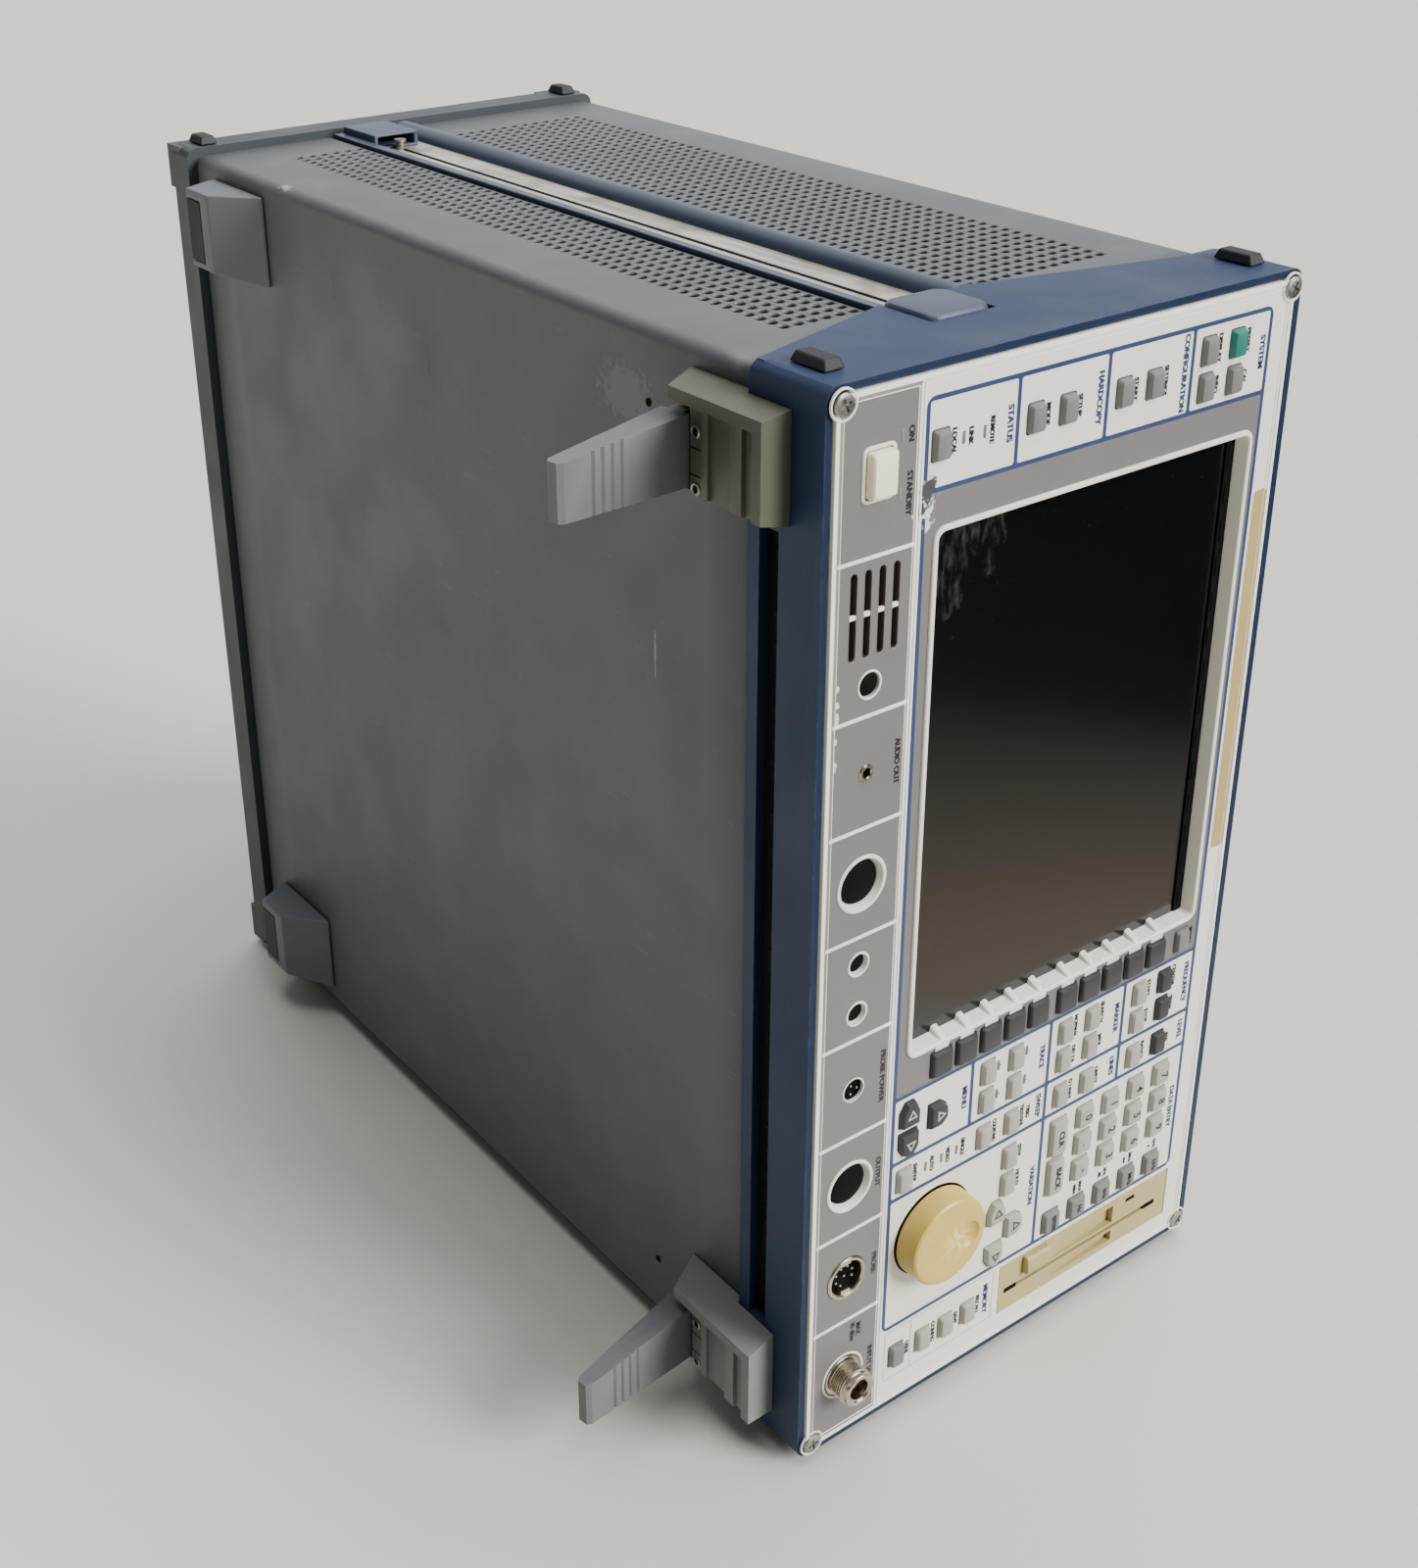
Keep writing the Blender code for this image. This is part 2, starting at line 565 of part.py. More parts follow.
def front_panel():
    """Plate with openings for the keys, display, drive, knob, button and connectors."""
    panel = prism("front_panel", rounded((3, 218), (LOW + 3, HIGH - 3), 3.5),
                  FASCIA_FRONT, FASCIA_BACK, "Y")
    left, right, bottom, top = DISPLAY
    collar = ((bottom - 2.5, FASCIA_BACK - 0.5, panel_z(right) - 2.5),
              (top + 2.5, 3.5, panel_z(left) + 2.5))
    join(panel, boxes("display_collar", [collar], CUTTERS))
    openings = bmesh.new()
    add_box(openings, (bottom, -5, panel_z(right)), (top, 8, panel_z(left)))
    add_box(openings, (103.9, -5, panel_z(413)), (205.4, 8, panel_z(388.2)))
    key_box(openings, (30.9, 21.2, 15.0, 10.5), -5, 8, grow=0.4)
    for row in range(4):
        for centre in (69.5, 85.3):
            up = 12.6 + 6.0 * row
            key_box(openings, (centre, up, 13.2, 2.8), -5, 8)
    for keys in [PRESET] + [group[1] for group in KEY_GROUPS.values()]:
        for key in keys:
            key_box(openings, key, -5, 8, grow=0.4)
    for across, up, radius in ((*KNOB, 4.0), (347.3, STRIP_CENTRE, 9.6), (395.0, STRIP_CENTRE, 9.0)):
        add_rod(openings, (up, panel_z(across)), radius, -5, 8)
    cut(panel, add_object("panel_openings", to_mesh(openings, "panel_openings"), where=CUTTERS))
    return paint(panel, "cream_panel")


def display():
    left, right, bottom, top = DISPLAY
    low, high = (bottom - 2, 3.8, panel_z(right) - 2), (top + 2, 5.8, panel_z(left) + 2)
    window = paint(boxes("display_window", [(low, high)]), "dark_glass")
    module = paint(boxes("display_module", [((low[0] + 1, 5.8 + GAP, low[2] + 1),
                                             (high[0] - 1, 20, high[2] - 1))]), "black_plastic")
    return window, module


def tuning_knob():
    """Turned knob with a finger dimple in its face and a blind bore for the shaft."""
    axis = (KNOB[1], 0, panel_z(KNOB[0]))
    profile = [(0, KNOB_FRONT), (KNOB_RADIUS - 1.5, KNOB_FRONT), (KNOB_RADIUS - 0.4, KNOB_FRONT + 0.5),
               (KNOB_RADIUS, KNOB_FRONT + 1.6), (KNOB_RADIUS, FASCIA_FRONT - GAP),
               (SHAFT_RADIUS + GAP, FASCIA_FRONT - GAP), (SHAFT_RADIUS + GAP, -8), (0, -8)]
    mesh = bpy.data.meshes.new("tuning_knob")
    bm = bmesh.new()
    points = [bm.verts.new((radius, 0, -y)) for radius, y in profile]
    for start, end in zip(points, points[1:]):
        bm.edges.new((start, end))
    bm.to_mesh(mesh)
    bm.free()
    knob = add_object("tuning_knob", mesh, origin=(0, 0, 0))
    knob.location = Vector(axis) * MM
    knob.rotation_euler = (math.pi / 2, 0, 0)
    screw = knob.modifiers.new("screw", "SCREW")
    screw.steps = screw.render_steps = 40
    screw.use_merge_vertices = True
    screw.merge_threshold = 0.00005
    dimple = bmesh.new()
    bmesh.ops.create_uvsphere(dimple, u_segments=20, v_segments=10, radius=8,
                              matrix=Matrix.Translation((axis[0] + 9.5, KNOB_FRONT - 5.8, axis[2])))
    cut(knob, add_object("knob_dimple", to_mesh(dimple, "knob_dimple"), where=CUTTERS))
    return paint(knob, "aged_cream", smooth=True)


def knob_encoder():
    """Rotary encoder: a shaft in the knob's bore, a bush through the panel and a body."""
    centre = (KNOB[1], panel_z(KNOB[0]))
    encoder = rods("knob_encoder", [dict(centre=centre, radius=SHAFT_RADIUS, start=-7.7, end=6)])
    join(encoder, rods("encoder_bush", [dict(centre=centre, radius=SHAFT_RADIUS + 0.7,
                                             start=-0.9, end=4)], CUTTERS))
    join(encoder, boxes("encoder_body", [((centre[0] - 7, 1.8, centre[1] - 7),
                                          (centre[0] + 7, 14, centre[1] + 7))], CUTTERS))
    return paint(encoder, "steel")


def keypad_board():
    """Board behind the keys, cut away round the display, the drive and the encoder."""
    board = boxes("keypad_board", [((41.5, 6.2, panel_z(407)), (207, 7.8, panel_z(11)))])
    left, right, bottom, top = DISPLAY
    cutters = [((bottom - 4.5, 5, panel_z(right) - 3), (220, 9, panel_z(left) + 4)),
               ((102, 5, panel_z(414)), (220, 9, panel_z(387.2))),
               ((KNOB[1] - 8, 5, panel_z(KNOB[0]) - 8), (KNOB[1] + 8, 9, panel_z(KNOB[0]) + 8))]
    cut(board, boxes("board_cutouts", cutters, CUTTERS))
    return paint(board, "circuit_board")


def power_button():
    z = panel_z(30.9)
    bm = bmesh.new()
    add_box(bm, (21.2 - 5.25, -5, z - 7.5), (21.2 + 5.25, 4, z + 7.5), 0.8)
    return paint(add_object("power_button", to_mesh(bm, "power_button")), "ivory_button")


def floppy_drive():
    """Drive body behind a face with a disk slot, a finger recess and a button opening."""
    z_low, z_high = panel_z(412.7), panel_z(388.5)
    drive = boxes("floppy_drive", [((104.3, -0.8, z_low), (205.1, 145, z_high))])
    slot = panel_z(402.8)
    openings = [((108, -2, slot - 1.8), (198, 60, slot + 1.8)),
                ((134.9, -2, panel_z(409.7)), (171.5, 2, panel_z(390.5))),
                ((118, -2, panel_z(398.0)), (131, 12, panel_z(390.0)))]
    for index, opening in enumerate(openings):
        cut(drive, boxes(f"drive_opening_{index}", [opening], CUTTERS))
    return paint(drive, "floppy_beige")


def eject_button():
    button = boxes("eject_button", [((118 + GAP, -4, panel_z(398.0) + GAP),
                                     (131 - GAP, 8, panel_z(390.0) - GAP))])
    return paint(button, "floppy_beige")


def speaker():
    """Loudspeaker behind the grille slots: a round frame on a square flange."""
    z = panel_z(77.5)
    cone = rods("speaker", [dict(centre=(21.5, z), radius=12, start=3, end=16, end_radius=8)])
    join(cone, boxes("speaker_flange", [((9, 2, z - 14), (34, 4, z + 14))], CUTTERS))
    return paint(cone, "black_plastic")


def rf_connector():
    """Threaded coaxial input: barrel, flange and body, bored for a centre contact."""
    centre = (STRIP_CENTRE, panel_z(395.0))
    shell = rods("rf_connector", [dict(centre=centre, radius=7.6, start=-11.5, end=3)])
    join(shell, rods("rf_flange", [dict(centre=centre, radius=8.6, start=-3, end=0.5)], CUTTERS))
    join(shell, rods("rf_body", [dict(centre=centre, radius=6, start=2, end=26)], CUTTERS))
    cut(shell, rods("rf_bore", [dict(centre=centre, radius=4.2, start=-13, end=-3.5)], CUTTERS))
    join(shell, rods("rf_contact", [dict(centre=centre, radius=1.5, start=-9, end=-3,
                                         sides=12)], CUTTERS))
    return paint(shell, "nickel", smooth=True)


def probe_socket():
    """Round multi-contact socket in a metal shell."""
    centre = (STRIP_CENTRE, panel_z(347.3))
    shell = rods("probe_socket", [dict(centre=centre, radius=9.2, start=-1.8, end=18)])
    cut(shell, rods("probe_recess", [dict(centre=centre, radius=7.2, start=-3, end=1.8)], CUTTERS))
    return paint(shell, "nickel", smooth=True)


# ---- Inside and rear ----

def chassis_tray():
    """Folded tray that the modules stand on."""
    tray = boxes("chassis_tray", [((8, 60, LOW + 11.6), (10, 424, HIGH - 11.6))])
    walls = [((8.5, 60, LOW + 11.6), (200, 424, LOW + 13.6)),
             ((8.5, 60, HIGH - 13.6), (200, 424, HIGH - 11.6))]
    for index, wall in enumerate(walls):
        join(tray, boxes(f"tray_wall_{index}", [wall], CUTTERS))
    return paint(tray, "bare_aluminium")


def modules():
    """Power supply block, processor board, and a cage of shielded RF cards on one base."""
    blocks = {
        "power_supply": ((10.3, 250, 25), (80, 395, 170), "bare_aluminium"),
        "processor_board": ((10.3, 250, 200), (190, 390, 202), "circuit_board"),
    }
    for name, (low, high, slot) in blocks.items():
        paint(boxes(name, [(low, high)]), slot)
    cage = boxes("rf_module", [((10.3, 80, 60), (18, 240, 400))])
    cards = [((17, 85, 66 + 36 * i), (140, 235, 76 + 36 * i)) for i in range(10)]
    join(cage, boxes("rf_cards", cards, CUTTERS))
    paint(cage, "bare_aluminium")


def fan_frame():
    """Square fan housing with a round duct and a motor boss on four struts."""
    up, across = FAN_CENTRE
    half = FAN_SIZE / 2
    frame = boxes("fan_frame", [((up - half, FAN_DEPTH[0], across - half),
                                 (up + half, FAN_DEPTH[1], across + half))])
    cut(frame, rods("fan_duct", [dict(centre=FAN_CENTRE, radius=43, sides=40,
                                      start=FAN_DEPTH[0] - 1, end=FAN_DEPTH[1] + 1)], CUTTERS))
    struts = [((up - 44, FAN_DEPTH[1] - 3, across - 2), (up + 44, FAN_DEPTH[1], across + 2)),
              ((up - 2, FAN_DEPTH[1] - 2.9, across - 44), (up + 2, FAN_DEPTH[1] - 0.1, across + 44))]
    for index, strut in enumerate(struts):
        join(frame, boxes(f"fan_strut_{index}", [strut], CUTTERS))
    join(frame, rods("fan_boss", [dict(centre=FAN_CENTRE, radius=16,
                                       start=FAN_DEPTH[1] - 4, end=FAN_DEPTH[1] - 0.2)], CUTTERS))
    join(frame, rods("fan_pin", [dict(centre=FAN_CENTRE, radius=1.5, sides=12,
                                      start=FAN_DEPTH[0] + 6, end=FAN_DEPTH[1] - 2)], CUTTERS))
    return paint(frame, "black_plastic")


def fan_rotor():
    """Hub with seven pitched blades, its origin on the fan's axis."""
    up, across = FAN_CENTRE
    start = FAN_DEPTH[0] + 2
    rotor = rods("fan_rotor", [dict(centre=FAN_CENTRE, radius=17, start=start, end=start + 17)],
                 origin=(up, start, across))
    blades = bmesh.new()
    for index in range(7):
        blade = add_box(blades, (-8, start + 7.4, 15), (8, start + 8.6, 41))
        pitch = Matrix.Rotation(math.radians(38), 4, "Z")
        around = Matrix.Rotation(math.tau * index / 7, 4, "Y")
        middle = Matrix.Translation((0, start + 8, 0))
        bmesh.ops.transform(blades, verts=blade, matrix=Matrix.Translation((up, 0, across))
                            @ around @ middle @ pitch @ middle.inverted())
    join(rotor, add_object("fan_blades", to_mesh(blades, "fan_blades"), where=CUTTERS))
    cut(rotor, rods("rotor_bore", [dict(centre=FAN_CENTRE, radius=1.8, sides=12,
                                        start=start + 3, end=start + 30)], CUTTERS))
    return paint(rotor, "black_plastic")


def mains_inlet():
    """Three-pin appliance inlet in the rear panel."""
    inlet = boxes("mains_inlet", [((30 + GAP, 425, 60 + GAP), (58 - GAP, 443, 92 - GAP))])
    cut(inlet, boxes("inlet_recess", [((36, 428, 64), (53, 450, 88))], CUTTERS))
    pins = [((46, 427, 75), (50, 441, 77)), ((39, 427, 68), (43, 441, 70)),
            ((39, 427, 82), (43, 441, 84))]
    for index, pin in enumerate(pins):
        join(inlet, boxes(f"inlet_pin_{index}", [pin], CUTTERS))
    return paint(inlet, "black_plastic")


def build():
    front_bezel()
    rear_frame()
    cover("lower_cover", (CASE_BOTTOM, 70.0), "bottom")
    cover("upper_cover", (115.8, CASE_TOP), "top")
    for side, left in (("left", True), ("right", False)):
        handle_channel(f"{side}_handle_channel", left)
        strap_cap(f"{side}_front_strap_cap", left, True)
        strap_cap(f"{side}_rear_strap_cap", left, False)
        for end, y_range in (("front", (10, 27)), ("rear", (437.5, 451))):
            bumper(f"{side}_{end}_lower_bumper", 8, y_range, left)
            bumper(f"{side}_{end}_upper_bumper", 204.5, y_range, left)
    rear_panel()
    for side in ("left", "right"):
        front_foot(f"{side}_front_foot", FRONT_FEET[side])
        leg_pin(f"{side}_leg_pin", FRONT_FEET[side])
        flip_leg(f"{side}_flip_leg", FRONT_FEET[side])
        rear_foot(f"{side}_rear_foot", REAR_FEET[side])
        foot_pad(f"{side}_foot_pad", REAR_FEET[side])
    front_panel()
    display()
    tuning_knob()
    knob_encoder()
    keypad_board()
    power_button()
    floppy_drive()
    eject_button()
    speaker()
    rf_connector()
    probe_socket()
    key_group("preset_key", "teal_key", PRESET)
    for name, (slot, keys) in KEY_GROUPS.items():
        key_group(name, slot, keys)
    chassis_tray()
    modules()
    fan_frame()
    fan_rotor()
    mains_inlet()


build()
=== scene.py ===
"""Looks for a bench spectrum analyzer, 5 rack units high, standing on its right-hand side.

Sizes are in millimetres. In the instrument's frame X is height above its underside, Y is
depth behind the bezel's front face and Z runs up from the floor. On the front panel,
"across" is the distance from the instrument's left-hand side, "up" is height above its
underside and "out" is height above the panel's face.
"""

import json
import math

import bmesh
import bpy
from mathutils import Matrix, Vector


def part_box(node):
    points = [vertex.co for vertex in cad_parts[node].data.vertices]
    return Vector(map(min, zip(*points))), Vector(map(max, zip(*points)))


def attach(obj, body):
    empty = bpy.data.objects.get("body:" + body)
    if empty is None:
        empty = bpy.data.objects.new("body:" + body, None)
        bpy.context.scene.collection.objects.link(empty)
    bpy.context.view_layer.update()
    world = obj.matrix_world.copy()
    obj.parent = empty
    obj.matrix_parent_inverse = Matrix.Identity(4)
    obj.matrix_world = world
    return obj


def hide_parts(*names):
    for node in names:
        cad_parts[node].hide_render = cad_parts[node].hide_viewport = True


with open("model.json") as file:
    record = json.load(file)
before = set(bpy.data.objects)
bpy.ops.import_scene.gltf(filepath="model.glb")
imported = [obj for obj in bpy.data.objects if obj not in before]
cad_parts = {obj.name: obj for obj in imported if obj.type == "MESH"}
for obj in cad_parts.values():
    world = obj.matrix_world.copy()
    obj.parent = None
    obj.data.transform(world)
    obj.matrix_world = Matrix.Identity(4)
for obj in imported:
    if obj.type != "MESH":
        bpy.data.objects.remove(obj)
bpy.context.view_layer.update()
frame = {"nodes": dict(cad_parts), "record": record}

MM = 0.001
BEZEL_LOW, BEZEL_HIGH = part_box("front_bezel")
PANEL_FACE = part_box("front_panel")[0].y
INSTRUMENT = (Matrix.Translation((BEZEL_LOW.x, BEZEL_LOW.y, 0)) @ Matrix.Scale(MM, 4))
PANEL = Matrix.Translation((BEZEL_LOW.x, PANEL_FACE, BEZEL_HIGH.z)) @ Matrix(
    ((0, 1, 0, 0), (0, 0, -1, 0), (-1, 0, 0, 0), (0, 0, 0, 1))) @ Matrix.Scale(MM, 4)
UNDERSIDE = INSTRUMENT @ Matrix(
    ((0, 0, -1, 0), (0, 1, 0, 0), (1, 0, 0, 0), (0, 0, 0, 1)))     # (Z, Y, -X)
BEVEL_ANGLE = math.radians(30)


def box_mm(node):
    """A CAD node's low and high corners in the instrument's millimetres."""
    origin = Vector((BEZEL_LOW.x, BEZEL_LOW.y, 0))
    return [(corner - origin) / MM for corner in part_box(node)]


# ---- Node graphs ----

def srgb(red, green, blue):
    """Linear colour of an 8-bit display colour."""
    return tuple(((value / 255 + 0.055) / 1.055) ** 2.4 if value > 10 else value / 3294
                 for value in (red, green, blue)) + (1.0,)


class Shade:
    """A material's node graph, built by short calls that return sockets."""

    def __init__(self, name, roughness=0.5, metallic=0.0):
        self.material = bpy.data.materials.new(name)
        self.material.use_nodes = True
        self.tree = self.material.node_tree
        self.shader = self.tree.nodes["Principled BSDF"]
        self.shader.inputs["Roughness"].default_value = roughness
        self.shader.inputs["Metallic"].default_value = metallic
        self.coords = self.add("ShaderNodeTexCoord").outputs["Object"]

    def add(self, kind, inputs=None, **settings):
        node = self.tree.nodes.new(kind)
        for key, value in settings.items():
            setattr(node, key, value)
        for key, value in (inputs or {}).items():
            if isinstance(value, bpy.types.NodeSocket):
                self.tree.links.new(value, node.inputs[key])
            else:
                node.inputs[key].default_value = value
        return node

    def set(self, **sockets):
        for key, value in sockets.items():
            name = key.replace("_", " ")
            if isinstance(value, bpy.types.NodeSocket):
                self.tree.links.new(value, self.shader.inputs[name])
            else:
                self.shader.inputs[name].default_value = value

    def noise(self, scale, detail=3.0, stretch=None, roughness=0.55):
        vector = self.coords
        if stretch:
            vector = self.vector("MULTIPLY", vector, stretch)
        return self.add("ShaderNodeTexNoise", {
            "Vector": vector, "Scale": scale, "Detail": detail,
            "Roughness": roughness}).outputs["Fac"]

    def remap(self, value, low, high, to_low=0.0, to_high=1.0):
        return self.add("ShaderNodeMapRange", {
            "Value": value, "From Min": low, "From Max": high,
            "To Min": to_low, "To Max": to_high}).outputs["Result"]

    def math(self, operation, first, second=0.0):
        return self.add("ShaderNodeMath", {0: first, 1: second}, operation=operation).outputs[0]

    def vector(self, operation, first, second=(0.0, 0.0, 0.0), output="Vector"):
        return self.add("ShaderNodeVectorMath", {0: first, 1: second},
                        operation=operation).outputs[output]

    def mix(self, factor, first, second):
        return self.add("ShaderNodeMix", {0: factor, 6: first, 7: second},
                        data_type="RGBA").outputs[2]

    def edges(self, radius):
        """1 on the object's edges, 0 on its flat faces."""
        rounded = self.add("ShaderNodeBevel", {"Radius": radius}, samples=4).outputs["Normal"]
        plain = self.add("ShaderNodeNewGeometry").outputs["Normal"]
        alike = self.vector("DOT_PRODUCT", rounded, plain, "Value")
        return self.remap(alike, 0.99, 0.80)

    def patch(self, point, radii, frame_matrix, ragged=0.5, scale=400):
        """1 inside a ragged spot round a point given in one of the two frames."""
        centre = frame_matrix @ Vector(point)
        reach = frame_matrix.to_3x3() @ Vector(radii)
        away = self.vector("SUBTRACT", self.coords, tuple(centre))
        away = self.vector("MULTIPLY", away, tuple(1 / abs(r) for r in reach))
        distance = self.vector("LENGTH", away, output="Value")
        grain = self.remap(self.noise(scale, 4.0), 0.3, 0.7, -ragged, ragged)
        return self.remap(self.math("ADD", distance, grain), 1.0, 0.75)

    def bump(self, height, distance, strength=1.0):
        normal = self.add("ShaderNodeBump", {
            "Height": height, "Distance": distance, "Strength": strength}).outputs["Normal"]
        self.set(Normal=normal)


def brighter(colour, factor):
    return tuple(min(1.0, value * factor) for value in colour[:3]) + (1.0,)


def coated(name, colour, roughness=0.42, grain=(1500, 0.00006), worn=None, marks=(),
           spread=0.10, scuffs=0.0, edge=0.0, ior=1.5, rim=None):
    """Paint or moulded plastic: clouded colour, fine grain, light edges, scuffs and spots.

    Each mark is (point, radii, frame, colour), a spot where something shows or stuck.
    rim, when given, is painted shade: a darker colour on the faces that point forwards.
    """
    shade = Shade(name)
    clouds = shade.remap(shade.noise(9, 5), 0.3, 0.7)
    tone = shade.mix(clouds, brighter(colour, 1 - spread), brighter(colour, 1 + spread))
    speckle = shade.remap(shade.noise(700, 2), 0.35, 0.65)
    tone = shade.mix(speckle, tone, shade.mix(0.12, tone, brighter(colour, 0.7)))
    # Painted shade: faces that point forwards are darkened towards the rim colour.
    if rim:
        normal = shade.add("ShaderNodeNewGeometry").outputs["Normal"]
        depth = shade.add("ShaderNodeSeparateXYZ", {0: normal}).outputs["Y"]
        tone = shade.mix(shade.remap(depth, -0.8, -0.95), tone, rim)
    if scuffs:
        lines = shade.noise(60, 4, stretch=(1.0, 1.0, 9.0))
        across = shade.noise(55, 4, stretch=(1.0, 8.0, 1.0))
        rubbed = shade.math("MAXIMUM", shade.remap(lines, 0.66, 0.74),
                            shade.remap(across, 0.67, 0.75))
        tone = shade.mix(shade.math("MULTIPLY", rubbed, scuffs), tone,
                         worn or brighter(colour, 1.6))
    if edge:
        chipped = shade.math("MULTIPLY", shade.edges(0.0012),
                             shade.remap(shade.noise(160, 4), 0.45, 0.62))
        tone = shade.mix(shade.math("MULTIPLY", chipped, edge), tone,
                         worn or brighter(colour, 1.8))
    for point, radii, matrix, mark in marks:
        tone = shade.mix(shade.patch(point, radii, matrix), tone, mark)
    shade.set(Base_Color=tone, IOR=ior)
    shine = shade.remap(shade.noise(25, 4), 0.3, 0.7, roughness - 0.06, roughness + 0.08)
    shade.set(Roughness=shine)
    shade.bump(shade.noise(grain[0], 2), grain[1])
    return shade.material


def metal(name, colour, roughness=0.3, brushed=(1, 1, 1), stains=0.0, stain=None):
    shade = Shade(name, metallic=1.0)
    fine = shade.noise(220, 4, stretch=brushed)
    tone = shade.mix(shade.remap(fine, 0.3, 0.7), brighter(colour, 0.85), brighter(colour, 1.1))
    if stains:
        blots = shade.remap(shade.noise(38, 5), 0.52, 0.66)
        tone = shade.mix(shade.math("MULTIPLY", blots, stains), tone, stain)
    shade.set(Base_Color=tone)
    shade.set(Roughness=shade.remap(fine, 0.2, 0.8, roughness * 0.7, roughness * 1.5))
    shade.bump(fine, 0.00003)
    return shade.material


GREY = srgb(81, 85, 89)
CASE_SPOTS = (
    ((5.0, 352, 429), (3.2, 5.0, 3.0), srgb(150, 150, 146)),
    ((3.5, 268, 430), (2.0, 3.0, 2.5), srgb(134, 136, 136)),
    ((3.0, 105, 401.5), (3.0, 15.5, 10.5), srgb(96, 101, 104)),
    ((3.0, 310, 396), (3.0, 1.4, 9.0), srgb(76, 78, 80)),
    ((3.0, 236, 380), (3.0, 1.2, 7.0), srgb(74, 77, 79)),
    ((3.0, 90, 310), (3.0, 0.5, 9.0), srgb(140, 143, 143)),
)
BLUE = srgb(38, 54, 82)
CREAM = srgb(220, 217, 205)
SCRAPED = srgb(58, 60, 66)
BARE = srgb(205, 205, 200)

RIM_CHIPS = tuple(((across, up, 0), (reach, 1.0, 20), PANEL, BARE) for across, up, reach in (
    (100.0, 6.9, 1.6), (106.0, 7.3, 1.2), (111.0, 7.0, 2.4), (119.0, 6.8, 1.4),
    (128.0, 7.0, 2.8)))
SCUFF_SPOTS = (
    ((44.5, 41.5, 0), (7.5, 4.6, 20), PANEL, BARE),
    ((42.0, 42.6, 0), (4.8, 3.6, 20), PANEL, SCRAPED),
    ((47.0, 40.0, 0), (2.8, 1.7, 20), PANEL, SCRAPED),
)
CHIP_SPOTS = (((53.0, 41.8, 0), (2.6, 2.2, 20), PANEL, BARE),) + RIM_CHIPS


def knob_material():
    """Yellowed plastic, rubbed pale in a star in front of the finger dimple."""
    shade = Shade("aged_knob")
    base, pale = srgb(190, 164, 80), srgb(222, 208, 146)
    clouds = shade.remap(shade.noise(60, 4), 0.3, 0.7)
    tone = shade.mix(clouds, brighter(base, 0.93), brighter(base, 1.05))
    centre = PANEL @ Vector((347.8, 68.2, 10.3))
    away = shade.vector("SUBTRACT", shade.coords, tuple(centre))
    split = shade.add("ShaderNodeSeparateXYZ", {0: away})
    angle = shade.math("ARCTAN2", split.outputs["X"], split.outputs["Z"])
    reach = shade.vector("LENGTH", away, output="Value")
    rays = shade.add("ShaderNodeTexNoise", {
        "Vector": shade.add("ShaderNodeCombineXYZ", {
            0: shade.math("MULTIPLY", angle, 2.6),
            1: shade.math("MULTIPLY", reach, 60.0)}).outputs[0],
        "Scale": 1.6, "Detail": 5.0}).outputs["Fac"]
    star = shade.math("MULTIPLY", shade.remap(rays, 0.45, 0.62), shade.remap(reach, 0.0105, 0.003))
    shade.set(Base_Color=shade.mix(star, tone, pale))
    shade.set(Roughness=shade.remap(star, 0.0, 1.0, 0.36, 0.6))
    shade.set(Subsurface_Weight=0.04, Subsurface_Radius=(0.004, 0.003, 0.001))
    shade.bump(shade.noise(900, 3), 0.00004)
    return shade.material


def glass_material():
    """Dark display glass with a haze of dust and a smear of wiped dirt in one corner."""
    shade = Shade("display_glass")
    depth = shade.remap(shade.noise(6, 2), 0.3, 0.7)
    tone = shade.mix(depth, srgb(5, 7, 12), srgb(11, 12, 11))
    corner = shade.patch((70.0, 60.0, -5), (19.0, 17.0, 20), PANEL, ragged=0.7, scale=90)
    streaks = shade.remap(shade.noise(420, 6, stretch=(1.0, 1.0, 0.3)), 0.45, 0.70)
    dirt = shade.math("MULTIPLY", corner, streaks)
    tone = shade.mix(shade.math("MULTIPLY", dirt, 0.09), tone, srgb(140, 142, 146))
    dust = shade.remap(shade.noise(1600, 1), 0.74, 0.82)
    tone = shade.mix(shade.math("MULTIPLY", dust, 0.10), tone, srgb(170, 170, 165))
    shade.set(Base_Color=tone)
    shade.set(Roughness=shade.remap(dirt, 0.0, 1.0, 0.14, 0.3))
    shade.set(IOR=1.5)
    return shade.material


def cone_material():
    """Woven brown cloth over the loudspeaker."""
    shade = Shade("speaker_cloth", roughness=0.9)
    weave = shade.add("ShaderNodeTexVoronoi", {"Vector": shade.coords, "Scale": 1400.0})
    shade.set(Base_Color=shade.mix(weave.outputs["Distance"], srgb(30, 22, 18), srgb(74, 60, 52)))
    shade.bump(weave.outputs["Distance"], 0.0002)
    return shade.material


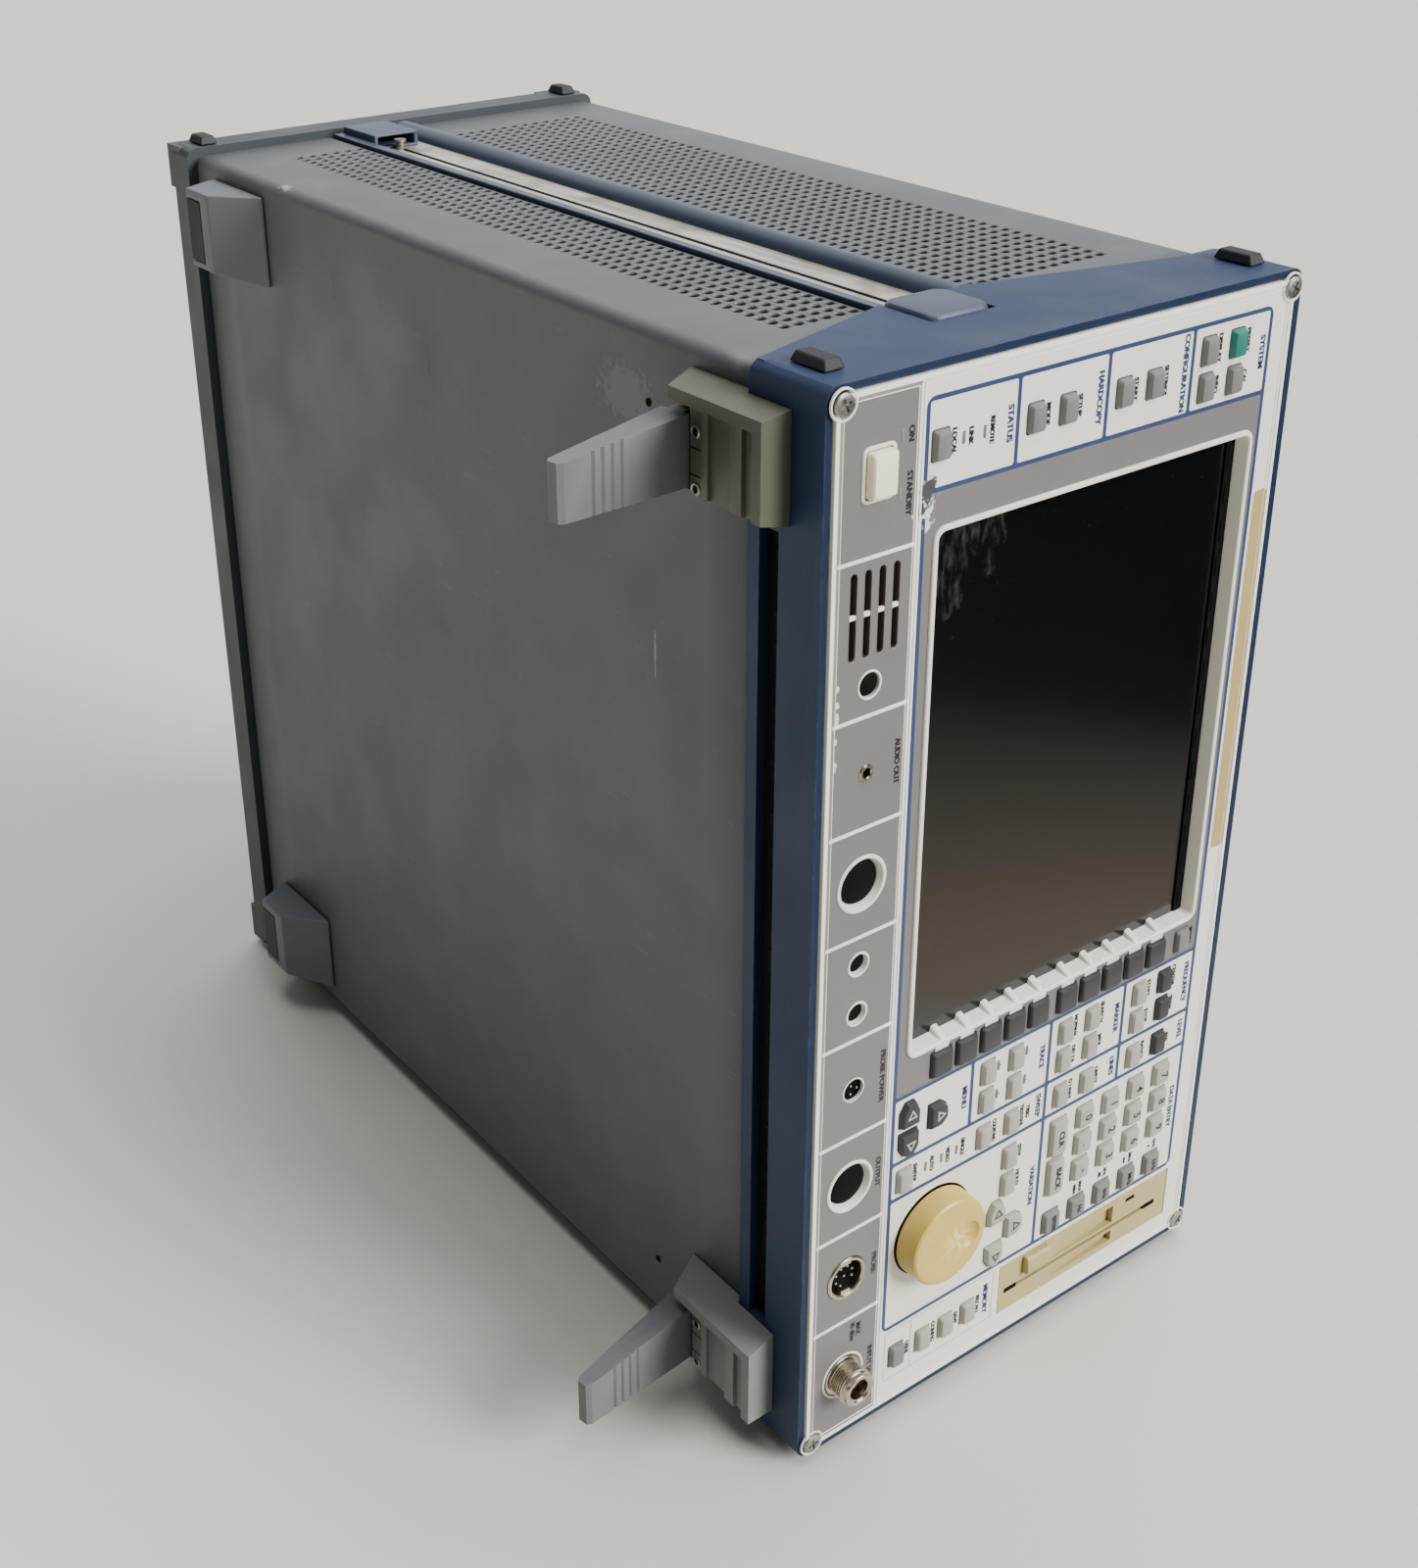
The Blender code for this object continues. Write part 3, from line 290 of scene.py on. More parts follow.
MATERIALS = {
    "grey_paint": coated("grey_case_paint", GREY, 0.48, (1300, 0.00007), srgb(124, 127, 128),
        [(point, radii, INSTRUMENT, tone) for point, radii, tone in CASE_SPOTS],
        scuffs=0.18, edge=0.3, spread=0.05),
    # The blue casting's forward faces get painted shade through rim.
    "blue_paint": coated("blue_cast_paint", BLUE, 0.5, (1100, 0.00008), srgb(96, 108, 124),
        edge=0.25, spread=0.07, ior=1.33, rim=srgb(17, 33, 60)),
    "frame_paint": coated("rear_frame_paint", srgb(50, 57, 63), 0.5, (1000, 0.0001),
        scuffs=0.2, edge=0.3, spread=0.08),
    "ridge_paint": coated("ridge_paint", srgb(232, 229, 220), 0.4, (1400, 0.00004),
        srgb(190, 186, 176), spread=0.03, edge=0.2),
    "slot_brown": coated("slot_brown", srgb(66, 52, 44), 0.7, spread=0.2),
    # Painted shade for the groove between the panel's rims.
    "groove_painted_shade": coated("groove_painted_shade", srgb(128, 124, 114), 0.6, (900, 0.00006),
        spread=0.2),
    "rail_paint": coated("rail_paint", srgb(50, 62, 82), 0.34, (900, 0.00005),
        scuffs=0.4, edge=0.5, spread=0.1),
    "cream_panel": coated("cream_panel", CREAM, 0.42, (1400, 0.00004), srgb(180, 176, 165),
        marks=SCUFF_SPOTS + CHIP_SPOTS, spread=0.03),
    "mauve_print": coated("mauve_print", srgb(104, 101, 101), 0.5, (1200, 0.00005),
        marks=SCUFF_SPOTS + CHIP_SPOTS, spread=0.03, scuffs=0.08),
    "outline_print": coated("outline_print", srgb(36, 54, 96), 0.5, marks=SCUFF_SPOTS,
        spread=0.05),
    "heading_print": coated("heading_print", srgb(20, 38, 92), 0.55, spread=0.05),
    "label_print": coated("label_print", srgb(18, 18, 20), 0.55, spread=0.05),
    "faint_print": coated("faint_print", srgb(178, 176, 170), 0.55, spread=0.03),
    "label_strip": coated("label_strip", srgb(166, 145, 96), 0.45, spread=0.05),
    "light_key": coated("light_key_plastic", srgb(153, 150, 142), 0.5, (1800, 0.00006),
        spread=0.05, edge=0.15),
    "grey_key": coated("grey_key_plastic", srgb(108, 107, 107), 0.5, (1800, 0.00006),
        spread=0.05, edge=0.15),
    "dark_key": coated("dark_key_plastic", srgb(40, 41, 44), 0.5, (1800, 0.00006),
        spread=0.08, edge=0.3),
    "teal_key": coated("teal_key_plastic", srgb(22, 108, 98), 0.45, (1800, 0.00006),
        spread=0.08, edge=0.2),
    "ivory_button": coated("ivory_button_plastic", srgb(240, 233, 200), 0.38, spread=0.04),
    "floppy_beige": coated("drive_plastic", srgb(168, 153, 104), 0.5, spread=0.06, edge=0.1),
    "cap_plastic": coated("cap_plastic", srgb(59, 68, 90), 0.42, (1500, 0.00008),
        scuffs=0.15, edge=0.3, spread=0.06),
    "foot_plastic": coated("foot_plastic", srgb(78, 78, 66), 0.5, (1300, 0.00008),
        scuffs=0.2, edge=0.3, spread=0.06),
    # Painted light: the lower front foot is the same plastic as the upper one, coloured lighter to
    # make up for the shade it stands in.
    "lower_foot_painted_light": coated("lower_foot_painted_light", srgb(113, 117, 114), 0.5,
        (1300, 0.00008), scuffs=0.2, edge=0.3, spread=0.06),
    "rear_foot_plastic": coated("rear_foot_plastic", srgb(93, 99, 103), 0.5,
        (1300, 0.00008), scuffs=0.3, edge=0.35, spread=0.06),
    "leg_plastic": coated("leg_plastic", srgb(94, 97, 100), 0.45, (1300, 0.00008),
        scuffs=0.25, edge=0.35, spread=0.06),
    "black_rubber": coated("black_rubber", srgb(18, 20, 23), 0.6, (1700, 0.0001),
        srgb(80, 80, 80), spread=0.15, edge=0.35),
    # Black plastic; the ring under the knob uses it as painted shadow.
    "black_plastic": coated("black_plastic", srgb(10, 10, 12), 0.7, spread=0.1, ior=1.18),
    # Near-black for insulators and the unlit drive lamp, and painted shade in holes, slots, gaps
    # and the case's inside.
    "near_black_and_painted_shade": coated("near_black_and_painted_shade", srgb(6, 7, 9), 0.8, spread=0.2, ior=1.2),
    "circuit_board": coated("circuit_board", srgb(24, 84, 52), 0.4, (300, 0.0001), spread=0.2),
    "bare_aluminium": metal("chromated_floor", srgb(214, 208, 196), 0.42, (1, 0.08, 1),
        0.55, srgb(126, 116, 104)),
    "steel": metal("steel", srgb(158, 156, 152), 0.42),
    "nickel": metal("nickel_plate", srgb(198, 190, 174), 0.2, (1, 6, 1), 0.4,
        srgb(120, 108, 92)),
    "aged_cream": knob_material(),
    "dark_glass": glass_material(),
    "speaker_cloth": cone_material(),
}

# The lower foot's lighter look is painted light.
FOOT_LOOK = {"left": "foot_plastic", "right": "lower_foot_painted_light"}


# ---- Making pieces ----

def link(name, data):
    """A new object in the scene."""
    obj = bpy.data.objects.new(name, data)
    bpy.context.scene.collection.objects.link(obj)
    return obj


def add_piece(name, mesh, look, body="case", replaces=(), matrix=PANEL):
    """Adds a mesh given in one frame's millimetres as a piece that rides on a body."""
    if matrix is not None:
        mesh.transform(matrix)
    obj = link(name, mesh)
    mesh.materials.clear()
    mesh.materials.append(MATERIALS[look])
    mesh.shade_smooth()
    mesh.set_sharp_from_angle(angle=BEVEL_ANGLE)
    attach(obj, body)
    if replaces:
        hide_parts(*replaces)
    return obj


def round_edges(obj, width, segments):
    """Rounds an object's sharp edges by a width in millimetres."""
    modifier = obj.modifiers.new("bevel", "BEVEL")
    modifier.width = width * MM
    modifier.segments = segments
    modifier.limit_method = "ANGLE"
    modifier.angle_limit = BEVEL_ANGLE


def to_mesh(bm, name):
    bmesh.ops.recalc_face_normals(bm, faces=bm.faces)
    mesh = bpy.data.meshes.new(name)
    bm.to_mesh(mesh)
    bm.free()
    return mesh


def place(bm, name, look, body="case", replaces=(), matrix=PANEL):
    """Adds a drawn shape as a piece."""
    return add_piece(name, to_mesh(bm, name), look, body, replaces, matrix)


def soften(node, look, width, segments=2, body="case", name=None, cuts=()):
    """A copy of a CAD node with its flat faces merged, trimmed and its edges rounded.

    cuts are boxes given as (Z, Y, -X) corners.
    """
    bm = bmesh.new()
    bm.from_mesh(frame["nodes"][node].data)
    bmesh.ops.remove_doubles(bm, verts=bm.verts, dist=2e-5)
    bmesh.ops.dissolve_limit(bm, angle_limit=math.radians(1.5), verts=bm.verts, edges=bm.edges)
    made = place(bm, name or node + "_finished", look, body, (node,), None)
    for low, high in cuts:
        bm = bmesh.new()
        block(bm, low, high)
        carve(made, to_mesh(bm, "cut"), UNDERSIDE)
    round_edges(made, width, segments)


def ring_loop(across, up, width, height, radius, out, steps=4):
    """Corners of a rounded rectangle in the panel's frame, as a loop of points."""
    points = []
    for quarter, (sx, sy) in enumerate(((1, 1), (-1, 1), (-1, -1), (1, -1))):
        cx = across + sx * (width / 2 - radius)
        cy = up + sy * (height / 2 - radius)
        for step in range(steps + 1):
            angle = math.pi / 2 * (quarter + step / steps)
            points.append((cx + radius * math.cos(angle), cy + radius * math.sin(angle), out))
    return points


def loft(bm, loops, closed=False):
    """Joins loops of equally many points; the ends are capped unless it closes on itself."""
    rings = [[bm.verts.new(point) for point in loop] for loop in loops]
    pairs = list(zip(rings, rings[1:]))
    if closed:
        pairs.append((rings[-1], rings[0]))
    for first, second in pairs:
        for index in range(len(first)):
            following = (index + 1) % len(first)
            bm.faces.new((first[index], first[following], second[following], second[index]))
    if not closed:
        bm.faces.new(rings[0])
        bm.faces.new(rings[-1])


def turned(bm, profile, across, up, segments=48):
    """A solid of revolution about an axis that stands out of the panel."""
    loops = []
    for radius, out in profile:
        loops.append([(across + radius * math.cos(math.tau * i / segments),
                       up + radius * math.sin(math.tau * i / segments), out)
                      for i in range(segments)])
    hollow = profile[0] == profile[-1]
    loft(bm, loops[:-1] if hollow else loops, closed=hollow)


def block(bm, low, high, round_by=0.0, segments=2):
    low, high = Vector(low), Vector(high)
    made = bmesh.ops.create_cube(bm, size=1)["verts"]
    for vert in made:
        vert.co = low + Vector((vert.co[i] + 0.5) * (high - low)[i] for i in range(3))
    if round_by:
        edges = list({edge for vert in made for edge in vert.link_edges})
        bmesh.ops.bevel(bm, geom=edges, offset=round_by, segments=segments, affect="EDGES",
                        profile=0.5)


def circle(across, up, radius, steps=28):
    return [(across + radius * math.cos(math.tau * i / steps),
             up + radius * math.sin(math.tau * i / steps)) for i in range(steps)]


def rounded(a0, a1, b0, b1, radius=0.5, steps=4):
    loop = ring_loop((a0 + a1) / 2, (b0 + b1) / 2, a1 - a0, b1 - b0, radius, 0, steps)
    return [(point[0], point[1]) for point in loop]


def curve_mesh(curve):
    """The mesh of a curve or a text, and its length."""
    guide = link("guide", curve)
    bpy.context.view_layer.update()
    mesh = bpy.data.meshes.new_from_object(
        guide.evaluated_get(bpy.context.evaluated_depsgraph_get()))
    length = guide.dimensions.x
    bpy.data.objects.remove(guide)
    return mesh, length


def text_mesh(word, size, thickness, weight, resolution=12):
    """Flat solid letters round the origin, and their length."""
    text = bpy.data.curves.new("word", "FONT")
    text.body = word
    text.size = size
    text.extrude = thickness
    text.offset = weight
    text.resolution_u = resolution
    text.align_x = text.align_y = "CENTER"
    return curve_mesh(text)


def sheet(name, outlines, back, front):
    """A flat sheet with holes: a filled 2D curve of several outlines, made into a mesh."""
    curve = bpy.data.curves.new(name, "CURVE")
    curve.dimensions = "2D"
    curve.fill_mode = "BOTH"
    curve.extrude = (front - back) / 2
    for outline in outlines:
        spline = curve.splines.new("POLY")
        spline.points.add(len(outline) - 1)
        for point, (x, y) in zip(spline.points, outline):
            point.co = (x, y, 0, 1)
        spline.use_cyclic_u = True
    bm = bmesh.new()
    bm.from_mesh(curve_mesh(curve)[0])
    bmesh.ops.remove_doubles(bm, verts=bm.verts, dist=1e-4)
    bmesh.ops.translate(bm, verts=bm.verts, vec=(0, 0, (front + back) / 2))
    return to_mesh(bm, name)


# ---- Layout of the front panel, as in the CAD model: across, up, width, height ----

KEY = (10.2, 7.2)
DIGIT_KEY = (10.2, 9.0)
WIDE_KEY = (17.4, 9.0)
ARROW_KEY = (10.6, 9.0)
SOFTKEY = (11.3, 10.4)
KEY_OUT = 2.4
CELL_UP = (41.0, 80.7, 122.5, 164.4)
CELL_TOP = 204.8
LOW_ROW, HIGH_ROW = 8.0, 22.9
COLUMNS = (284.9, 298.1, 315.0)
SOFT_ROWS = [63.4 + 12.6 * i + (2.8 if i > 4 else 0) for i in range(10)]
SOFT_COLUMN = 268.8
DIGIT_COLUMNS = (332.1, 345.3, 358.5)
DIGIT_ROWS = (146.2, 161.2, 176.3, 191.4)
DISPLAY = (58.4, 257.4, 49.0, 198.3)
DISPLAY_FRAME = (54.9, 260.9, 45.5, 201.8)
KNOB = (347.0, 64.3, 19.0, 10.5)
STRIP = (5.8, 420.2, 5.3, 37.0)
STRIP_MIDDLE = 20.7
DIVIDERS = (58.3, 113.7, 155.4, 198.0, 240.3, 282.6, 325.8, 368.2)
SPEAKER_PLUG, AUDIO_JACK, POWER_SOCKET, PROBE_SOCKET, RF_SOCKET = 102.6, 134.6, 261.8, 347.3, 395.0
BIG_PLUGS = (176.9, 304.6)
SMALL_PLUGS = (209.0, 229.4)
SPEAKER_ROWS = [12.6 + 6.0 * row for row in range(4)]
SPEAKER_SLOT = (77.4, 30.4, 2.8, 1.35)      # middle, length, width, corner radius
POWER_BUTTON = (30.9, 21.2, 15.0, 10.5)
SCREWS = [(across, up) for across in (6.2, 420.8) for up in (6.1, 214.6)]
DRIVE = (388.4, 412.8, 104.2, 205.2)


def keys_at(columns, rows, size=KEY):
    """Keys of one size in a grid."""
    return [(column, row, *size) for column in columns for row in rows]


ROWS = [(up + LOW_ROW, up + HIGH_ROW) for up in CELL_UP]
KEYS = {
    "preset_key": [("teal_key", [(21.1, ROWS[3][1], *KEY)])],
    "setup_keys": [("grey_key", [(34.3, ROWS[3][1], *KEY)] + keys_at((21.1, 34.3), ROWS[3][:1])
                    + keys_at((27.5,), ROWS[1] + ROWS[2]) + [(27.5, 46.8, *KEY)])],
    "softkeys": [("dark_key", [(SOFT_COLUMN, row, *SOFTKEY) for row in SOFT_ROWS]),
                 ("grey_key", [(SOFT_COLUMN, 194.9, *KEY)])],
    "frequency_level_keys": [("dark_key", keys_at(COLUMNS, ROWS[3][1:])),
                             ("light_key", keys_at(COLUMNS, ROWS[3][:1]))],
    "marker_lines_keys": [("light_key", keys_at(COLUMNS, ROWS[2]))],
    "trace_sweep_keys": [("light_key", keys_at(COLUMNS, ROWS[1]))],
    "menu_keys": [("dark_key", [(291.7, 63.0, *ARROW_KEY), (285.0, 48.5, *ARROW_KEY),
                                (298.4, 48.5, *ARROW_KEY)]),
                  ("light_key", [(COLUMNS[2], 47.5, *KEY)])],
    "digit_keys": [("light_key", keys_at(DIGIT_COLUMNS, DIGIT_ROWS, DIGIT_KEY)
                    + [(335.6, 131.3, *WIDE_KEY), (355.2, 131.3, *WIDE_KEY)])],
    "unit_keys": [("grey_key", keys_at((378.1,), (131.3, *DIGIT_ROWS), DIGIT_KEY))],
    "step_keys": [("light_key", keys_at(DIGIT_COLUMNS[:2], (104.0,))
                   + [(367.4, 108.8, *ARROW_KEY), (356.8, 98.6, *ARROW_KEY),
                      (378.0, 98.6, *ARROW_KEY)])],
    "memory_keys": [("light_key", keys_at((400.7,), (62.1, 74.4, 86.5))),
                    ("grey_key", [(400.7, 48.2, *KEY)])],
}
ARROWS = {
    (291.7, 63.0): "up", (285.0, 48.5): "left", (298.4, 48.5): "right",
    (367.4, 108.8): "up", (356.8, 98.6): "left", (378.0, 98.6): "right",
}


def key_outline(key, inset=0.0):
    """Outline of a key: a rounded rectangle, or a house shape that points its arrow's way."""
    across, up, width, height = key
    w, h = width / 2 - inset, height / 2 - inset
    way = ARROWS.get((across, up))
    if way is None:
        return rounded(across - w, across + w, up - h, up + h, 1.1, 3)
    house = [(w, -h), (w, h * 0.25), (w * 0.45, h), (-w * 0.45, h), (-w, h * 0.25), (-w, -h)]
    if way == "left":
        house = [(-y * w / h, x * h / w) for x, y in house]
    if way == "right":
        house = [(y * w / h, -x * h / w) for x, y in house]
    return [(across + x, up + y) for x, y in house]


def key_solid(bm, key):
    """A key whose sides draw in and whose top edge is rounded over."""
    soft = key[2:] == SOFTKEY
    top = 2.0 if soft else KEY_OUT
    loops = []
    for inset, out in ((0.0, -1.6), (0.0, 0.2), (0.45, top - 0.7), (0.75, top - 0.2), (1.25, top)):
        loops.append([(x, y, out) for x, y in key_outline(key, inset)])
    loft(bm, loops)


def build_keys():
    """One piece for each colour of key in each group that moves."""
    for body, groups in KEYS.items():
        for index, (look, keys) in enumerate(groups):
            bm = bmesh.new()
            for key in keys:
                key_solid(bm, key)
            name = f"{body}_{look}" if index else body + "_tops"
            place(bm, name, look, body, (body,) if index == 0 else ())


# ---- Front panel ----

def panel_holes():
    """Outlines of every opening in the front panel."""
    holes = [rounded(DISPLAY_FRAME[0] + 1, DISPLAY_FRAME[1] - 1,
                     DISPLAY_FRAME[2] + 1, DISPLAY_FRAME[3] - 1, 4),
             rounded(DRIVE[0], DRIVE[1], DRIVE[2], DRIVE[3], 0.4),
             rounded(22.9, 38.9, 15.5, 26.9, 0.8),
             circle(SPEAKER_PLUG, STRIP_MIDDLE, 4.3), circle(AUDIO_JACK, STRIP_MIDDLE, 2.4),
             circle(POWER_SOCKET, STRIP_MIDDLE, 4.4), circle(PROBE_SOCKET, STRIP_MIDDLE, 9.4),
             circle(RF_SOCKET, STRIP_MIDDLE, 8.9)]
    holes += [circle(across, STRIP_MIDDLE, 9.6) for across in BIG_PLUGS]
    holes += [circle(across, STRIP_MIDDLE, 4.0) for across in SMALL_PLUGS]
    middle, length, width, corner = SPEAKER_SLOT
    for up in SPEAKER_ROWS:
        holes.append(rounded(middle - length / 2, middle + length / 2,
                             up - width / 2, up + width / 2, corner))
    for groups in KEYS.values():
        for _, keys in groups:
            holes += [key_outline(key, -0.4) for key in keys]
    return holes


def inside(outline, a0, a1, b0, b1):
    return all(a0 < x < a1 and b0 < y < b1 for x, y in outline)


def printed(name, look, outer, holes, front=0.06):
    """A thin printed area with the panel's own openings left free."""
    xs, ys = [p[0] for p in outer], [p[1] for p in outer]
    free = [hole for hole in PANEL_HOLES if inside(hole, min(xs), max(xs), min(ys), max(ys))]
    add_piece(name, sheet(name, [outer] + free + list(holes), 0.0, front), look)


def fascia():
    """The panel's sheet, two raised rims round it and a strip of painted shade in the groove
    between them.
    """
    outer = rounded(3.2, 423.0, 3.2, 216.0, 3.3, 6)
    add_piece("fascia", sheet("fascia", [outer] + PANEL_HOLES, -2.5, 0.0), "cream_panel",
              replaces=("front_panel",))
    bm = bmesh.new()
    for inset, width, out in ((0.0, 1.8, 0.28), (3.0, 0.4, 0.18)):
        w, h = 419.8 - 2 * inset, 212.8 - 2 * inset
        sections = ((0.0, -0.3), (0.02, out - 0.1), (0.12, out), (width - 0.12, out),
                    (width, -0.3))
        loft(bm, [ring_loop(213.1, 109.6, w - 2 * d, h - 2 * d, max(0.6, 3.3 - inset - d), z, 6)
                  for d, z in sections], closed=True)
    place(bm, "fascia_rim", "ridge_paint")
    # The groove's darkness is painted shade: a flat grey strip along the left and lower edges.
    groove = [(5.1, 38), (5.1, 5.1), (421.1, 5.1), (421.1, 38), (419.9, 38), (419.9, 6.3),
              (6.3, 6.3), (6.3, 38)]
    add_piece("rim_groove", sheet("rim_groove", [groove], -0.1, 0.04), "groove_painted_shade")


def outlines():
    """Blue lines round the groups of keys, the display's surround and the strip's fields."""
    cells = [(11.7, 42.3, *pair) for pair in zip(CELL_UP, CELL_UP[1:] + (CELL_TOP,))]
    cells += [(42.3, 276.7, 41.0, CELL_TOP), (276.7, 306.1, 164.0, CELL_TOP),
              (306.1, 323.0, 164.0, CELL_TOP), (323.0, 385.4, 122.4, CELL_TOP),
              (276.7, 306.1, 122.4, 164.0), (306.1, 323.0, 122.4, 164.0),
              (276.7, 306.1, 80.7, 122.4), (276.7, 306.1, 41.0, 80.7),
              (306.1, 323.0, 41.0, 122.4), (323.0, 385.4, 41.0, 122.4)]
    line = 0.8
    holes = [rounded(a0 + line, a1 - line, b0 + line, b1 - line, 0.9) for a0, a1, b0, b1 in cells]
    outer = rounded(11.7 - line, 385.4 + line, 41.0 - line, CELL_TOP + line, 3.6, 6)
    add_piece("panel_outlines", sheet("panel_outlines", [outer] + holes, 0.0, 0.08),
              "outline_print")
    surround = rounded(42.95, 276.05, 41.65, CELL_TOP - 0.65, 0.9)
    printed("display_surround", "mauve_print", surround, [])
    lines = [rounded(387.7, 412.0, 42.0, 100.9, 0.6), rounded(388.1, 411.6, 42.4, 55.7, 0.4),
             rounded(388.1, 411.6, 56.1, 100.5, 0.4)]
    add_piece("memory_outline", sheet("memory_outline", lines, 0.0, 0.08), "faint_print")
    add_piece("name_strip", sheet("name_strip", [rounded(80.7, 231.2, 207.2, 214.0, 1.6)],
                                  0.0, 0.12), "label_strip")


def connector_strip():
    """Mauve fields between raised white ridges along the instrument's lower edge."""
    edges = (STRIP[0] + 0.1, *DIVIDERS, STRIP[1] - 0.1)
    for index, (left, right) in enumerate(zip(edges, edges[1:])):
        printed(f"strip_field_{index + 1}", "mauve_print",
                rounded(left + 0.7, right - 0.7, STRIP[2] + 1.35, STRIP[3] - 0.3, 0.5), [])
    bm = bmesh.new()
    for across in DIVIDERS:
        block(bm, (across - 0.65, STRIP[2], -0.3), (across + 0.65, 37.6, 0.4), 0.15)
    block(bm, (STRIP[0], 37.3, -0.3), (STRIP[1], 38.3, 0.45), 0.2)
    block(bm, (STRIP[0], 38.9, -0.3), (STRIP[1], 39.6, 0.35), 0.15)
    place(bm, "strip_ridges", "ridge_paint")


def display_frame():
    """Raised lip with sloping inner walls and a small rib beside every softkey."""
    a0, a1, b0, b1 = DISPLAY_FRAME
    sections = ((0.0, -0.4, 5.0), (0.15, 0.7, 4.9), (0.5, 1.0, 4.6), (1.7, 1.0, 3.6),
                (2.1, 0.7, 3.2), (3.5, -4.7, 2.2), (2.6, -4.7, 2.2), (1.2, -0.6, 3.4))
    bm = bmesh.new()
    loft(bm, [ring_loop((a0 + a1) / 2, (b0 + b1) / 2, a1 - a0 - 2 * inset,
                        b1 - b0 - 2 * inset, radius, out, 6)
              for inset, out, radius in sections], closed=True)
    for row in SOFT_ROWS:
        loops = []
        for wall, tip, half, out in ((258.2, 255.0, 2.2, -4.68), (259.0, 256.6, 1.9, -1.2),
                                     (259.4, 257.8, 1.5, 0.3), (259.6, 258.8, 1.0, 0.9)):
            loops.append([(wall, row - half, out), (wall, row + half, out),
                          (tip + 0.5, row + half * 0.7, out), (tip, row + half * 0.25, out),
                          (tip, row - half * 0.25, out), (tip + 0.5, row - half * 0.7, out)])
        loft(bm, loops)
    place(bm, "display_frame", "cream_panel")
    bm = bmesh.new()
    for row in SOFT_ROWS:
        block(bm, (260.2, row - 3.4, 0.02), (263.0, row + 3.4, 0.5), 0.2)
    place(bm, "softkey_tabs", "cream_panel")
    bm = bmesh.new()
    block(bm, (DISPLAY[0] + 0.2, DISPLAY[3] - 4.4, -4.7),
          (DISPLAY[1] - 0.2, DISPLAY[3] - 0.2, -4.1))
    for index in range(14):
        across = 62.0 + index * 14.2
        block(bm, (across, DISPLAY[3] - 3.4, -4.2), (across + 8.0, DISPLAY[3] - 2.4, -3.7), 0.2)
    place(bm, "display_edge_strip", "black_plastic")


def lamps():
    """Small bar-shaped status lamps."""
    bars = [(27.3, 66.0), (27.3, 56.8), (331.7, 109.7), (314.6, 109.4), (314.6, 74.7),
            (314.6, 66.9), (314.6, 58.8), (21.2, 30.6), (40.4, 30.6)]
    bars += [(across, up) for across in (284.6, 297.9) for up in (94.6, 109.6)]
    bm = bmesh.new()
    for across, up in bars:
        size = (4.8, 1.5) if up == 30.6 else (4.4, 1.2)
        loft(bm, [ring_loop(across, up, size[0] - 2 * d, size[1] - 2 * d, 0.5, out)
                  for d, out in ((0, -0.2), (0, 0.12), (0.15, 0.24))])
    place(bm, "status_lamps", "grey_key")


def arrow_prints():
    """Outlined triangles on the arrow keys."""
    turns = {"up": 90, "left": 180, "right": 0}
    for body, look in (("menu_keys", "faint_print"), ("step_keys", "label_print")):
        bm = bmesh.new()
        for across, up in [key[:2] for _, keys in KEYS[body] for key in keys if key[:2] in ARROWS]:
            angles = [math.radians(corner + turns[ARROWS[(across, up)]])
                      for corner in (0, 120, 240)]
            loft(bm, [[(across + size * math.cos(angle), up + size * math.sin(angle), out)
                       for angle in angles]
                      for size, out in ((2.7, KEY_OUT - 0.02), (2.7, KEY_OUT + 0.06),
                                        (1.5, KEY_OUT + 0.06), (1.5, KEY_OUT - 0.02))],
                 closed=True)
        place(bm, body + "_arrows", look, body)


def digit_prints():
    """Numerals on the number keys."""
    signs = {key[:2]: sign
             for key, sign in zip(keys_at(DIGIT_COLUMNS, DIGIT_ROWS[1:]), "147258369")}
    signs.update({(column, DIGIT_ROWS[0]): sign for column, sign in zip(DIGIT_COLUMNS, "0.-")})
    for (across, up), sign in signs.items():
        mesh = text_mesh(sign, 5.4, 0.04, 0.1)[0]
        mesh.transform(Matrix.Translation((across + 0.4, up + 0.6, KEY_OUT + 0.03)))
        spot = f"{DIGIT_COLUMNS.index(across)}{DIGIT_ROWS.index(up)}"
        add_piece("numeral_" + spot, mesh, "label_print", "digit_keys")


def lettering(bm, word, across, up, tall, longest, out=0.0):
    """Adds one word, its middle at a point and no longer than a limit, as flat solid letters."""
    mesh, length = text_mesh(word, tall * 1.45, 0.045, 0.05, 3)
    mesh.transform(Matrix.Diagonal((min(1.0, longest / length), 1.0, 1.0, 1.0)))
    for shift, lift in ((-0.17, 0.04), (0.0, 0.05), (0.17, 0.045)):
        copy = mesh.copy()
        copy.transform(Matrix.Translation((across + shift, up, out + lift)))
        bm.from_mesh(copy)
        bpy.data.meshes.remove(copy)
    bpy.data.meshes.remove(mesh)


